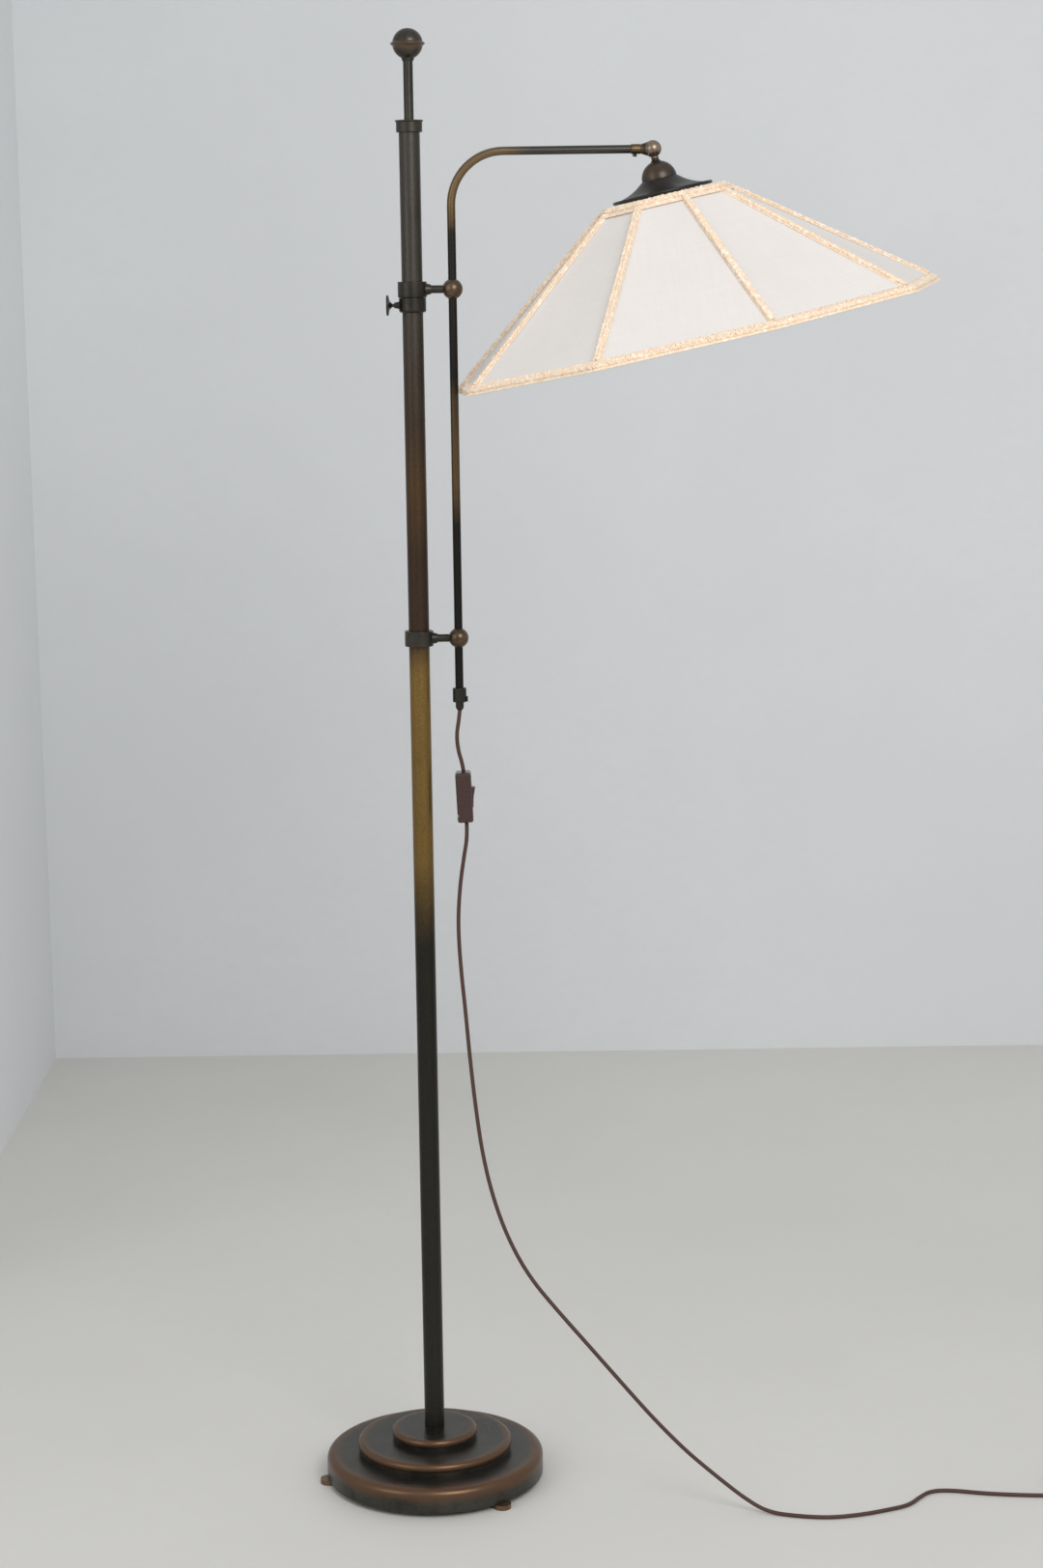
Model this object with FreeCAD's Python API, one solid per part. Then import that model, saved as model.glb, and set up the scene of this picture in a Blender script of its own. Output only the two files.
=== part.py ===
"""Bridge floor lamp: a stepped round base, a tall pole and a bent side arm that
slides and swivels on the pole and carries a nine-sided fabric shade.

Frame: +Z up, +X along the side arm from the pole towards the shade, origin on
the floor under the middle of the base.  Lengths are in millimetres.
"""
import FreeCAD
import Part
import math
import os

Vector = FreeCAD.Vector
Rotation = FreeCAD.Rotation
Placement = FreeCAD.Placement

# ---------------------------------------------------------------- clearances
SEAT_GAP = 0.05          # radial play of a piece that slides or turns on another
PRESS_GAP = 0.02         # radial play of a piece fixed in a bore
FACE_GAP = 0.3           # between faces of pieces that move apart

# ---------------------------------------------------------------- base
FOOT_COUNT = 3
FOOT_HEIGHT = 6.0
FOOT_WIDTH = 22.0
FOOT_LENGTH = 40.0
FOOT_OVERHANG = 10.0     # part of a foot that shows beyond the rim
FOOT_FIRST_ANGLE = -51.0
FOOT_SCREW_RADIUS = 2.0
FOOT_SCREW_HEAD_RADIUS = 4.0
FOOT_SCREW_HEAD_DEPTH = 2.5
FOOT_SCREW_LENGTH = 15.0
LARGE_DISC_RADIUS = 137.5
LARGE_DISC_THICKNESS = 30.0
LARGE_DISC_ROUNDING = 9.0
MIDDLE_DISC_RADIUS = 97.5
MIDDLE_DISC_RISER = 6.0
SMALL_DISC_RADIUS = 54.0
SMALL_DISC_RISER = 4.0
RIM_THICKNESS = 10.0     # bullnose rim of the middle and the small disc
RIM_ROUNDING = 5.5
RISER_SETBACK = 3.0
RECESS_RADIUS = 30.0     # under the large disc, for the nut
RECESS_DEPTH = 14.0
POLE_SOCKET_DEPTH = 3.0
BASE_ROD_RADIUS = 5.0
BASE_NUT_FLATS = 17.0
BASE_NUT_HEIGHT = 8.0
BASE_WASHER_RADIUS = 15.0
BASE_WASHER_THICKNESS = 2.5

# ---------------------------------------------------------------- pole
POLE_RADIUS = 12.5
POLE_WALL = 1.5
POLE_LENGTH = 1629.0
POLE_INSERT_LENGTH = 40.0
CUP_HEIGHT = 14.0
CUP_PLATE = 2.0
CUP_WALL = 3.0
CUP_FLANGE_RADIUS = 16.8
CUP_FLANGE_HEIGHT = 2.4
FINIAL_ROD_RADIUS = 5.75
FINIAL_ROD_SHOWN = 68.0  # from the cup to the neck of the ball
FINIAL_BALL_RADIUS = 18.0
FINIAL_RIDGE = 3.0       # how far the ridge stands out at the ball's middle
FINIAL_RIDGE_HEIGHT = 6.0
FINIAL_NECK_RADIUS = 8.0
FINIAL_NECK_HEIGHT = 3.0

# ---------------------------------------------------------------- brackets
ARM_OFFSET = 48.0        # from the pole's axis to the arm tube's axis
UPPER_BRACKET_Z = 1496.5
LOWER_BRACKET_Z = 1077.5
RING_RADIUS = 17.4
RING_HEIGHT = 18.6
BOSS_ROOT_RADIUS = 8.0
BOSS_TIP_RADIUS = 5.6
BOSS_REACH = 5.0         # beyond the ring
BRACKET_ROD_RADIUS = 4.75
BRACKET_BALL_RADIUS = 12.2
BALL_SCREW_RADIUS = 2.0
COLLAR_RADIUS = 16.3
COLLAR_HEIGHT = 17.6
COLLAR_ROUNDING = 3.0
COLLAR_BOSS_REACH = 5.7
COLLAR_BOSS_RADIUS = 5.0
COLLAR_BOSS_TIP_RADIUS = 3.2
THUMB_SHANK_RADIUS = 2.0
THUMB_HEAD_RADIUS = 12.2
THUMB_HEAD_THICKNESS = 2.4
THUMB_TRUMPET = 4.5      # length of the flare behind the head
THUMB_SHANK_SHOWN = 2.4

# ---------------------------------------------------------------- arm tube
ARM_RADIUS = 5.0
ARM_WALL = 1.0
ARM_HEIGHT = 1657.0      # axis of the level stretch
ARM_BEND_RADIUS = 62.5
ARM_LOWER_END = 1006.0
KNUCKLE_X = 288.0        # pivot of the shade
GRIP_RADIUS = 8.4
GRIP_ABOVE = 10.0        # above the end of the arm tube
GRIP_BELOW = 7.4
GRIP_NOSE_RADIUS = 5.0
GRIP_NOSE_LENGTH = 6.6
GRIP_TIP_RADIUS = 3.6
GRIP_TIP_LENGTH = 3.0
GRIP_SCREW_RADIUS = 1.8
GRIP_SCREW_HEAD_RADIUS = 3.4
GRIP_SCREW_HEAD = 1.8

# ---------------------------------------------------------------- knuckle
KNUCKLE_RADIUS = 10.2
KNUCKLE_COLLAR_RADIUS = 5.9
KNUCKLE_COLLAR_LENGTH = 11.5
KNUCKLE_COLLAR_START = 26.0   # from the pivot to the collar's outer end
KNUCKLE_NECK_RADIUS = 5.1
KNUCKLE_NECK_END_RADIUS = 8.2
KNUCKLE_NECK_END = 6.5        # from the pivot to the neck's wide end
KNUCKLE_SCREW_RADIUS = 2.0
KNUCKLE_SCREW_HEAD_RADIUS = 3.5
KNUCKLE_SCREW_HEAD = 2.2
SET_SCREW_RADIUS = 1.5
SET_SCREW_HEAD_RADIUS = 2.4
SET_SCREW_HEAD = 3.0
STEM_RADIUS = 4.4
STEM_FLANGE_RADIUS = 6.4
STEM_FLANGE_HEIGHT = 2.6
STEM_BORE = 2.7

# ---------------------------------------------------------------- head, along its axis down from the pivot
SHADE_TILT = 12.4
CANOPY_TOP = 15.5
CANOPY_DOME_RADIUS = 21.0
CANOPY_DOME_CENTRE = 35.5
CANOPY_STEP = 2.0
CANOPY_RADIUS = 60.0
CANOPY_RIM = 51.5
CANOPY_SHEET = 1.2
CANOPY_BEAD = 1.9         # radius of the rolled rim
CANOPY_SAG = 3.4         # hollow of the flare below its chord
NUT_RADIUS = 6.0
NUT_HEIGHT = 4.0
SPIDER_DEPTH = 60.0
SPIDER_SHEET = 2.0
SPIDER_HUB_RADIUS = 14.0
SPIDER_ARM_WIDTH = 8.0
SPIDER_ARMS = 3
HOLDER_RADIUS = 19.5
HOLDER_WALL = 2.0
HOLDER_CAP_HEIGHT = 22.0
HOLDER_BODY_HEIGHT = 30.0
HOLDER_CORE_RADIUS = 12.0
HOLDER_CORE_HEIGHT = 14.0
HOLDER_RING_RADIUS = 24.0
HOLDER_RING_HEIGHT = 6.0
SOCKET_RADIUS = 13.9
SOCKET_SHEET = 0.5
BULB_CAP_RADIUS = 13.1
BULB_CAP_HEIGHT = 22.0
BULB_RADIUS = 30.0
BULB_LENGTH = 87.0       # glass, below the cap
BULB_WALL = 1.0

# ---------------------------------------------------------------- shade
SIDES = 9
SHADE_FIRST_CORNER = 4.4     # angle of the corner nearest to the arm's direction
SHADE_TOP = 58.0
SHADE_BOTTOM = 228.0
SHADE_TOP_RADIUS = 72.5       # to the corners
SHADE_BOTTOM_RADIUS = 304.0
FABRIC = 1.0
WIRE_RADIUS = 1.75
BRAID = 1.5
RIB_BRAID_WIDTH = 10.0
TOP_BRAID_HEIGHT = 8.5        # along the head's axis
BOTTOM_BRAID_HEIGHT = 10.5

# ---------------------------------------------------------------- switch in the lead
SWITCH_LENGTH = 62.0
SWITCH_WIDTH = 25.0
SWITCH_BACK = 10.5            # from the parting plane to the back
SWITCH_FRONT = 8.8            # from the parting plane to the front
SWITCH_WALL = 2.2
SWITCH_ROUNDING = 3.0
SWITCH_CAVITY_WIDTH = 14.0
SWITCH_LEAN = 2.4
SWITCH_X = 52.6
SWITCH_Z = 881.0
ROCKER_LENGTH = 25.0
ROCKER_WIDTH = 10.0
ROCKER_TOP = 11.4             # face of the rocker above the parting plane
ROCKER_BOTTOM = 2.5
ROCKER_PIVOT = 5.5
ROCKER_TILT = 8.0
ROCKER_PIN_RADIUS = 1.0
WINDOW_GAP = 1.3              # round the rocker
SWITCH_SCREW_RADIUS = 1.4
SWITCH_SCREW_HEAD_RADIUS = 2.6
SWITCH_SCREW_HEAD = 1.8
TERMINAL_SIZE = 6.0

# ---------------------------------------------------------------- lead
CORD_RADIUS = 2.5
CORD_HOLE = 2.7
COIL_START = Vector(806.0, -99.0, CORD_RADIUS)
COIL_LEAD = 9.0               # straight stretch into and out of the coil
COIL_RADIUS = 36.4            # of the outermost turn
COIL_PITCH = 5.9              # between neighbouring turns
COIL_LAYER = 5.7              # between the two layers
COIL_TURNS_IN = 2.75
COIL_TURNS_OUT = 3.0
COIL_CLIMB = 0.5              # turn in which the lead climbs to the upper layer
COIL_DIP = 0.9                # how far the climbing half turn is drawn in
PLUG_NECK_LENGTH = 22.0
PLUG_NECK_RADIUS = 4.4
PLUG_LENGTH = 34.0
PLUG_WIDTH = 26.0
PLUG_ROUNDING = 4.0
PLUG_PIN_RADIUS = 2.0
PLUG_PIN_LENGTH = 19.0
PLUG_PIN_SPACING = 18.6

# The free stretch from the arm tube to the switch.
UPPER_ROUTE = [
    (48.0, 0.0, 989.0),
    (46.6, 0.0, 976.0),
    (43.4, 0.0, 958.0),
    (45.2, 0.0, 938.0),
    (49.8, 0.0, 923.0),
    (51.2, 0.0, 912.7),
]

# The long stretch from the switch to the floor and along it to the coil.
RUN_ROUTE = [
    (53.9, 0.0, 849.6),
    (54.6, -0.5, 832.0),
    (50.0, -1.5, 806.0),
    (44.2, -3.0, 768.0),
    (41.2, -6.0, 722.0),
    (43.6, -10.0, 670.0),
    (48.8, -14.0, 613.0),
    (53.8, -21.0, 550.0),
    (60.0, -29.0, 490.0),
    (67.6, -38.0, 434.0),
    (80.5, -47.0, 379.0),
    (99.0, -56.0, 329.0),
    (124.0, -64.5, 284.0),
    (158.0, -73.0, 243.5),
    (197.0, -83.0, 200.0),
    (236.0, -93.0, 156.0),
    (275.0, -103.0, 112.5),
    (315.0, -112.5, 73.0),
    (352.0, -120.5, 43.0),
    (386.0, -128.0, 17.0),
    (414.0, -137.0, CORD_RADIUS),
    (450.0, -150.0, CORD_RADIUS),
    (490.0, -156.0, CORD_RADIUS),
    (532.0, -147.0, CORD_RADIUS),
    (565.0, -133.5, CORD_RADIUS),
    (590.0, -122.0, CORD_RADIUS),
    (606.0, -99.0, CORD_RADIUS),
    (622.0, -80.0, CORD_RADIUS),
    (648.0, -78.0, CORD_RADIUS),
    (690.0, -90.0, CORD_RADIUS),
    (742.0, -97.0, CORD_RADIUS),
    (782.0, -99.0, CORD_RADIUS),
    (COIL_START.x, COIL_START.y, CORD_RADIUS),
]

# ---------------------------------------------------------------- levels that follow
LARGE_TOP = FOOT_HEIGHT + LARGE_DISC_THICKNESS
MIDDLE_TOP = LARGE_TOP + MIDDLE_DISC_RISER + RIM_THICKNESS
SMALL_TOP = MIDDLE_TOP + SMALL_DISC_RISER + RIM_THICKNESS
POLE_BOTTOM = SMALL_TOP - POLE_SOCKET_DEPTH
POLE_TOP = POLE_BOTTOM + POLE_LENGTH
POLE_BORE = POLE_RADIUS - POLE_WALL
CUP_TOP = POLE_TOP + CUP_PLATE
FINIAL_NECK_BOTTOM = CUP_TOP + FINIAL_ROD_SHOWN
FINIAL_Z = FINIAL_NECK_BOTTOM + FINIAL_NECK_HEIGHT + FINIAL_BALL_RADIUS - 1.0
COLLAR_TOP = UPPER_BRACKET_Z - RING_HEIGHT / 2 - FACE_GAP
COLLAR_Z = COLLAR_TOP - COLLAR_HEIGHT / 2
RUNNING_BORE = POLE_RADIUS + SEAT_GAP
HOLDER_TOP = SPIDER_DEPTH
HOLDER_MIDDLE = HOLDER_TOP + HOLDER_CAP_HEIGHT
HOLDER_BOTTOM = HOLDER_MIDDLE + HOLDER_BODY_HEIGHT
STEM_END = HOLDER_TOP + HOLDER_WALL + NUT_HEIGHT + 2.0
BULB_CAP_TOP = HOLDER_BOTTOM - BULB_CAP_HEIGHT
HEAD = Placement(Vector(KNUCKLE_X, 0, ARM_HEIGHT), Rotation(Vector(0, 1, 0), -SHADE_TILT))
SWITCH = Placement(Vector(SWITCH_X, 0, SWITCH_Z), Rotation(Vector(0, 1, 0), -SWITCH_LEAN))
ALONG_X = Rotation(Vector(0, 1, 0), 90)
ALONG_Y = Rotation(Vector(1, 0, 0), -90)


# ---------------------------------------------------------------- shapes
def rounded_wire(corners):
    """Closed wire in the XZ plane through corners (x, z, corner radius)."""
    points = [Vector(x, 0, z) for x, z, _ in corners]
    stretches = []
    for i, (_, _, radius) in enumerate(corners):
        here = points[i]
        if not radius:
            stretches.append((here, None, here))
            continue
        back = (points[i - 1] - here).normalize()
        ahead = (points[(i + 1) % len(points)] - here).normalize()
        half = back.getAngle(ahead) / 2
        inward = (back + ahead).normalize()
        run = radius / math.tan(half)
        middle = here + inward * (radius / math.sin(half) - radius)
        stretches.append((here + back * run, middle, here + ahead * run))
    edges = []
    for i, (start, middle, end) in enumerate(stretches):
        if middle is not None:
            edges.append(Part.Arc(start, middle, end).toShape())
        following = stretches[(i + 1) % len(stretches)][0]
        if end.distanceToPoint(following) > 1e-4:
            edges.append(Part.LineSegment(end, following).toShape())
    return Part.Wire(edges)


def turned(corners):
    """Solid turned about Z from corners (radius, z, corner radius)."""
    face = Part.Face(rounded_wire(corners))
    return face.revolve(Vector(0, 0, 0), Vector(0, 0, 1), 360)


def cylinder(radius, low, high):
    """Cylinder about Z between two heights."""
    return Part.makeCylinder(radius, high - low, Vector(0, 0, low))


def cone(low_radius, high_radius, low, high):
    """Cone about Z between two heights."""
    return Part.makeCone(low_radius, high_radius, high - low, Vector(0, 0, low))


def box(x, y, z):
    """Box between pairs of coordinates (low, high)."""
    size = [high - low for low, high in (x, y, z)]
    return Part.makeBox(*size, Vector(x[0], y[0], z[0]))


def ring(outer, inner, low, high):
    """Plain ring about Z."""
    return cylinder(outer, low, high).cut(cylinder(inner, low - 1, high + 1))


def placed(shape, placement):
    """Copy of a shape moved by a placement."""
    copy = shape.copy()
    copy.Placement = placement.multiply(copy.Placement)
    return copy


def moved(shape, x=0.0, y=0.0, z=0.0, rotation=Rotation()):
    """Copy of a shape turned about the origin and then moved."""
    return placed(shape, Placement(Vector(x, y, z), rotation))


def along_x(shape, x=0.0, y=0.0, z=0.0):
    """Copy of a shape made about Z, laid along +X and moved."""
    return moved(shape, x, y, z, ALONG_X)


def around(shape, count, first=0.0):
    """Copies of a shape at equal angles about Z."""
    step = 360.0 / count
    return [moved(shape, rotation=Rotation(Vector(0, 0, 1), first + i * step)) for i in range(count)]


def hexagon(flats, low, high):
    """Hexagonal prism about Z."""
    corner = flats / 2 / math.cos(math.pi / 6)
    points = [Vector(corner * math.cos(i * math.pi / 3), corner * math.sin(i * math.pi / 3), low)
              for i in range(7)]
    return Part.Face(Part.makePolygon(points)).extrude(Vector(0, 0, high - low))


def round_box(x, y, z, radius):
    """Box with all its edges rounded."""
    solid = box(x, y, z)
    return solid.makeFillet(radius, solid.Edges)


# ---------------------------------------------------------------- tubes along a route
def arc_from(start, tangent, end):
    """Arc from a point with a tangent to another point."""
    chord = end - start
    along = Vector(chord).normalize()
    side = tangent - along * tangent.dot(along)
    if side.Length < 1e-7:
        return Part.LineSegment(start, end).toShape()
    rise = math.tan(tangent.getAngle(chord) / 2) * chord.Length / 2
    middle = (start + end) * 0.5 + side.normalize() * rise
    return Part.Arc(start, middle, end).toShape()


def biarc(start, tangent, end, end_tangent):
    """Two arcs that join two points with their tangents."""
    gap = end - start
    both = tangent + end_tangent
    spread = 2 * (1 - tangent.dot(end_tangent))
    reach = gap.dot(both)
    if spread < 1e-9:
        run = gap.dot(gap) / (4 * gap.dot(end_tangent))
    else:
        run = (math.sqrt(reach ** 2 + spread * gap.dot(gap)) - reach) / spread
    ahead, behind = start + tangent * run, end - end_tangent * run
    joint = (ahead + behind) * 0.5
    return [arc_from(start, tangent, joint), arc_from(joint, (behind - ahead).normalize(), end)]


def filleted_route(points):
    """Edges of straight runs joined by tangent arcs, and the arcs' radii."""
    points = [Vector(*p) for p in points]
    edges, radii = [], []
    here = points[0]
    for before, corner, after in zip(points, points[1:], points[2:]):
        back, ahead = before - corner, after - corner
        half_turn = (math.pi - back.getAngle(ahead)) / 2
        run = 0.45 * min(back.Length, ahead.Length)
        radius = run / math.tan(half_turn)
        back.normalize()
        ahead.normalize()
        start, end = corner + back * run, corner + ahead * run
        inward = (back + ahead).normalize()
        middle = corner + inward * (radius / math.cos(half_turn) - radius)
        edges.append(Part.LineSegment(here, start).toShape())
        edges.append(Part.Arc(start, middle, end).toShape())
        radii.append(radius)
        here = end
    edges.append(Part.LineSegment(here, points[-1]).toShape())
    return edges, radii


def swept(edges, radius):
    """Round tube along joined edges."""
    path = Part.Wire(edges)
    first = edges[0]
    direction = first.tangentAt(first.FirstParameter)
    section = Part.Wire(Part.Circle(first.valueAt(first.FirstParameter), direction, radius).toShape())
    shell = Part.BRepOffsetAPI.MakePipeShell(path)
    shell.add(section)
    shell.build()
    shell.makeSolid()
    return shell.shape()


def cord_tube(name, points):
    """Tube of a free stretch of lead, with its length, volume and radii printed."""
    edges, radii = filleted_route(points)
    tube = swept(edges, CORD_RADIUS)
    length = sum(edge.Length for edge in edges)
    expected = math.pi * CORD_RADIUS ** 2 * length
    print(name, "length", round(length, 1), "volume ratio", round(tube.Volume / expected, 4))
    print("  radii", [round(radius) for radius in radii])
    return tube


# ---------------------------------------------------------------- base
def foot_outline():
    """Foot that points along +X, flat below, with a rounded outer end."""
    outer = LARGE_DISC_RADIUS + FOOT_OVERHANG
    half = FOOT_WIDTH / 2
    bar = box((outer - FOOT_LENGTH, outer - half), (-half, half), (0, FOOT_HEIGHT))
    end = moved(cylinder(half, 0, FOOT_HEIGHT), outer - half)
    return bar.fuse(end).removeSplitter()


def foot_screw_x():
    """Distance of the foot screws from the lamp's axis."""
    return LARGE_DISC_RADIUS + FOOT_OVERHANG - FOOT_LENGTH + FOOT_WIDTH / 2


def foot_screw(play=0.0):
    """Countersunk screw from below, or its hole with some play."""
    head = cone(FOOT_SCREW_HEAD_RADIUS + play, FOOT_SCREW_RADIUS + play, 1.0, 1.0 + FOOT_SCREW_HEAD_DEPTH)
    shank = cylinder(FOOT_SCREW_RADIUS + play, 1.0, 1.0 + FOOT_SCREW_LENGTH + play)
    return moved(head.fuse(shank), foot_screw_x())


def feet():
    well = moved(cylinder(FOOT_SCREW_HEAD_RADIUS + PRESS_GAP, -1, 1.0), foot_screw_x())
    foot = foot_outline().cut(foot_screw(PRESS_GAP)).cut(well)
    return Part.makeCompound(around(foot, FOOT_COUNT, FOOT_FIRST_ANGLE))


def foot_screws():
    return Part.makeCompound(around(foot_screw(), FOOT_COUNT, FOOT_FIRST_ANGLE))


def base_bore():
    """Hole of the threaded rod through all three discs."""
    return cylinder(BASE_ROD_RADIUS + PRESS_GAP, 0, SMALL_TOP + 1)


def base_large_disc():
    disc = turned([
        (0, FOOT_HEIGHT, 0), (LARGE_DISC_RADIUS, FOOT_HEIGHT, 1.0),
        (LARGE_DISC_RADIUS, LARGE_TOP, LARGE_DISC_ROUNDING), (0, LARGE_TOP, 0),
    ])
    recess = cylinder(RECESS_RADIUS, FOOT_HEIGHT - 1, FOOT_HEIGHT + RECESS_DEPTH)
    disc = disc.cut(recess).cut(base_bore())
    for hole in around(foot_screw(PRESS_GAP), FOOT_COUNT, FOOT_FIRST_ANGLE):
        disc = disc.cut(hole)
    return disc


def rimmed_disc(radius, bottom, riser):
    """Disc with a set-back riser under a bullnose rim."""
    top = bottom + riser + RIM_THICKNESS
    inner = radius - RISER_SETBACK
    low_rounding = min(RIM_THICKNESS - RIM_ROUNDING, RISER_SETBACK) * 0.8
    return turned([
        (0, bottom, 0), (inner, bottom, 0), (inner, bottom + riser, 0),
        (radius, bottom + riser, low_rounding), (radius, top, RIM_ROUNDING), (0, top, 0),
    ])


def base_middle_disc():
    return rimmed_disc(MIDDLE_DISC_RADIUS, LARGE_TOP, MIDDLE_DISC_RISER).cut(base_bore())


def base_small_disc():
    disc = rimmed_disc(SMALL_DISC_RADIUS, MIDDLE_TOP, SMALL_DISC_RISER)
    socket = cylinder(POLE_RADIUS + PRESS_GAP, POLE_BOTTOM, SMALL_TOP + 1)
    return disc.cut(base_bore()).cut(socket)


def base_stack_low():
    """Underside of the washer and of the nut, under the recess's roof."""
    roof = FOOT_HEIGHT + RECESS_DEPTH
    washer = roof - BASE_WASHER_THICKNESS
    return roof, washer, washer - BASE_NUT_HEIGHT


def base_rod():
    _, _, nut = base_stack_low()
    return cylinder(BASE_ROD_RADIUS, nut - 1.0, POLE_BOTTOM + POLE_INSERT_LENGTH - 5.0)


def base_washer():
    roof, washer, _ = base_stack_low()
    return ring(BASE_WASHER_RADIUS, BASE_ROD_RADIUS + PRESS_GAP, washer, roof)


def base_nut():
    _, washer, nut = base_stack_low()
    return hexagon(BASE_NUT_FLATS, nut, washer).cut(base_bore())


def pole_foot_insert():
    body = cylinder(POLE_BORE - PRESS_GAP, POLE_BOTTOM, POLE_BOTTOM + POLE_INSERT_LENGTH)
    return body.cut(cylinder(BASE_ROD_RADIUS + PRESS_GAP, POLE_BOTTOM - 1, POLE_TOP))


# ---------------------------------------------------------------- pole and finial
def pole_tube():
    return ring(POLE_RADIUS, POLE_BORE, POLE_BOTTOM, POLE_TOP)


def pole_head_insert():
    body = cylinder(POLE_BORE - PRESS_GAP, POLE_TOP - POLE_INSERT_LENGTH, POLE_TOP)
    return body.cut(cylinder(FINIAL_ROD_RADIUS + PRESS_GAP, POLE_BOTTOM, POLE_TOP + 1))


def pole_cup():
    """Cap over the pole's end with a thin flange round its top."""
    outer = POLE_RADIUS + CUP_WALL
    cap = turned([
        (0, CUP_TOP - CUP_HEIGHT, 0), (outer, CUP_TOP - CUP_HEIGHT, 0.6),
        (outer, CUP_TOP - CUP_FLANGE_HEIGHT, 0), (CUP_FLANGE_RADIUS, CUP_TOP - CUP_FLANGE_HEIGHT / 2, 0.4),
        (CUP_FLANGE_RADIUS, CUP_TOP, 0.4), (0, CUP_TOP, 0),
    ])
    seat = cylinder(POLE_RADIUS + PRESS_GAP, 0, POLE_TOP)
    return cap.cut(seat).cut(cylinder(FINIAL_ROD_RADIUS + PRESS_GAP, 0, CUP_TOP + 1))


def finial_rod():
    return cylinder(FINIAL_ROD_RADIUS, POLE_TOP - POLE_INSERT_LENGTH + 10.0, FINIAL_Z - 6.0)


def finial_ball():
    """Ball with a ridge round its middle and a flared neck below."""
    ball = Part.makeSphere(FINIAL_BALL_RADIUS, Vector(0, 0, FINIAL_Z))
    edge = FINIAL_BALL_RADIUS + FINIAL_RIDGE
    half = FINIAL_RIDGE_HEIGHT / 2
    ridge = turned([
        (0, FINIAL_Z - half, 0), (FINIAL_BALL_RADIUS - 0.5, FINIAL_Z - half, 0),
        (edge, FINIAL_Z, 0.8), (FINIAL_BALL_RADIUS - 0.5, FINIAL_Z + half, 0), (0, FINIAL_Z + half, 0),
    ])
    neck_top = FINIAL_Z - math.sqrt(FINIAL_BALL_RADIUS ** 2 - FINIAL_NECK_RADIUS ** 2) + 0.5
    neck = cone(FINIAL_ROD_RADIUS + 0.8, FINIAL_NECK_RADIUS, FINIAL_NECK_BOTTOM, neck_top)
    bore = cylinder(FINIAL_ROD_RADIUS + PRESS_GAP, 0, FINIAL_Z - 6.0 + PRESS_GAP)
    return ball.fuse([ridge, neck]).cut(bore)


# ---------------------------------------------------------------- brackets on the pole
def bracket_rod_ends():
    """Where the rod starts in the ring and ends in the ball, from the pole's axis."""
    start = (RUNNING_BORE + RING_RADIUS) / 2 - 1.0
    return start, ARM_OFFSET - ARM_RADIUS - 1.5


def bracket_rod(z, play=0.0):
    start, end = bracket_rod_ends()
    return along_x(cylinder(BRACKET_ROD_RADIUS + play, start, end + play), z=z)


def bracket_ring(z):
    """Ring that turns on the pole, with a conical boss for the rod."""
    half = RING_HEIGHT / 2
    body = turned([(0, -half, 0), (RING_RADIUS, -half, 1.0), (RING_RADIUS, half, 1.0), (0, half, 0)])
    root = RUNNING_BORE + 1.0
    boss = along_x(cone(BOSS_ROOT_RADIUS, BOSS_TIP_RADIUS, root, RING_RADIUS + BOSS_REACH))
    body = moved(body.fuse(boss), z=z)
    bore = cylinder(RUNNING_BORE, z - RING_HEIGHT, z + RING_HEIGHT)
    return body.cut(bore).cut(bracket_rod(z, PRESS_GAP))


def ball_screw(z):
    """Grub screw at the back of the ball that grips the arm tube."""
    outer = math.sqrt(BRACKET_BALL_RADIUS ** 2 - BALL_SCREW_RADIUS ** 2) - 0.5
    screw = cylinder(BALL_SCREW_RADIUS, ARM_RADIUS + PRESS_GAP, outer)
    return moved(screw, ARM_OFFSET, 0, z, ALONG_Y)


def bracket_ball(z):
    """Ball on the rod's end, bored for the arm tube."""
    ball = Part.makeSphere(BRACKET_BALL_RADIUS, Vector(ARM_OFFSET, 0, z))
    bore = moved(cylinder(ARM_RADIUS + PRESS_GAP, -BRACKET_BALL_RADIUS, BRACKET_BALL_RADIUS), ARM_OFFSET, 0, z)
    hole = moved(cylinder(BALL_SCREW_RADIUS + PRESS_GAP, 0, BRACKET_BALL_RADIUS), ARM_OFFSET, 0, z, ALONG_Y)
    return ball.cut(bore).cut(hole).cut(bracket_rod(z, PRESS_GAP))


def bracket_rods():
    return Part.makeCompound([bracket_rod(z) for z in (UPPER_BRACKET_Z, LOWER_BRACKET_Z)])


def ball_screws():
    return Part.makeCompound([ball_screw(z) for z in (UPPER_BRACKET_Z, LOWER_BRACKET_Z)])


def lock_collar():
    """Collar under the upper ring that carries the arm, with a boss for the thumb screw."""
    half = COLLAR_HEIGHT / 2
    body = turned([(0, -half, 0), (COLLAR_RADIUS, -half, COLLAR_ROUNDING), (COLLAR_RADIUS, half, 0.8), (0, half, 0)])
    root = RUNNING_BORE + 1.0
    tip = COLLAR_RADIUS + COLLAR_BOSS_REACH
    boss = moved(cone(COLLAR_BOSS_RADIUS, COLLAR_BOSS_TIP_RADIUS, root, tip), rotation=Rotation(Vector(0, 1, 0), -90))
    body = moved(body.fuse(boss), z=COLLAR_Z)
    bore = cylinder(RUNNING_BORE, COLLAR_Z - COLLAR_HEIGHT, COLLAR_Z + COLLAR_HEIGHT)
    thread = moved(cylinder(THUMB_SHANK_RADIUS + SEAT_GAP, 0, tip + 1), z=COLLAR_Z, rotation=Rotation(Vector(0, 1, 0), -90))
    return body.cut(bore).cut(thread)


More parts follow.
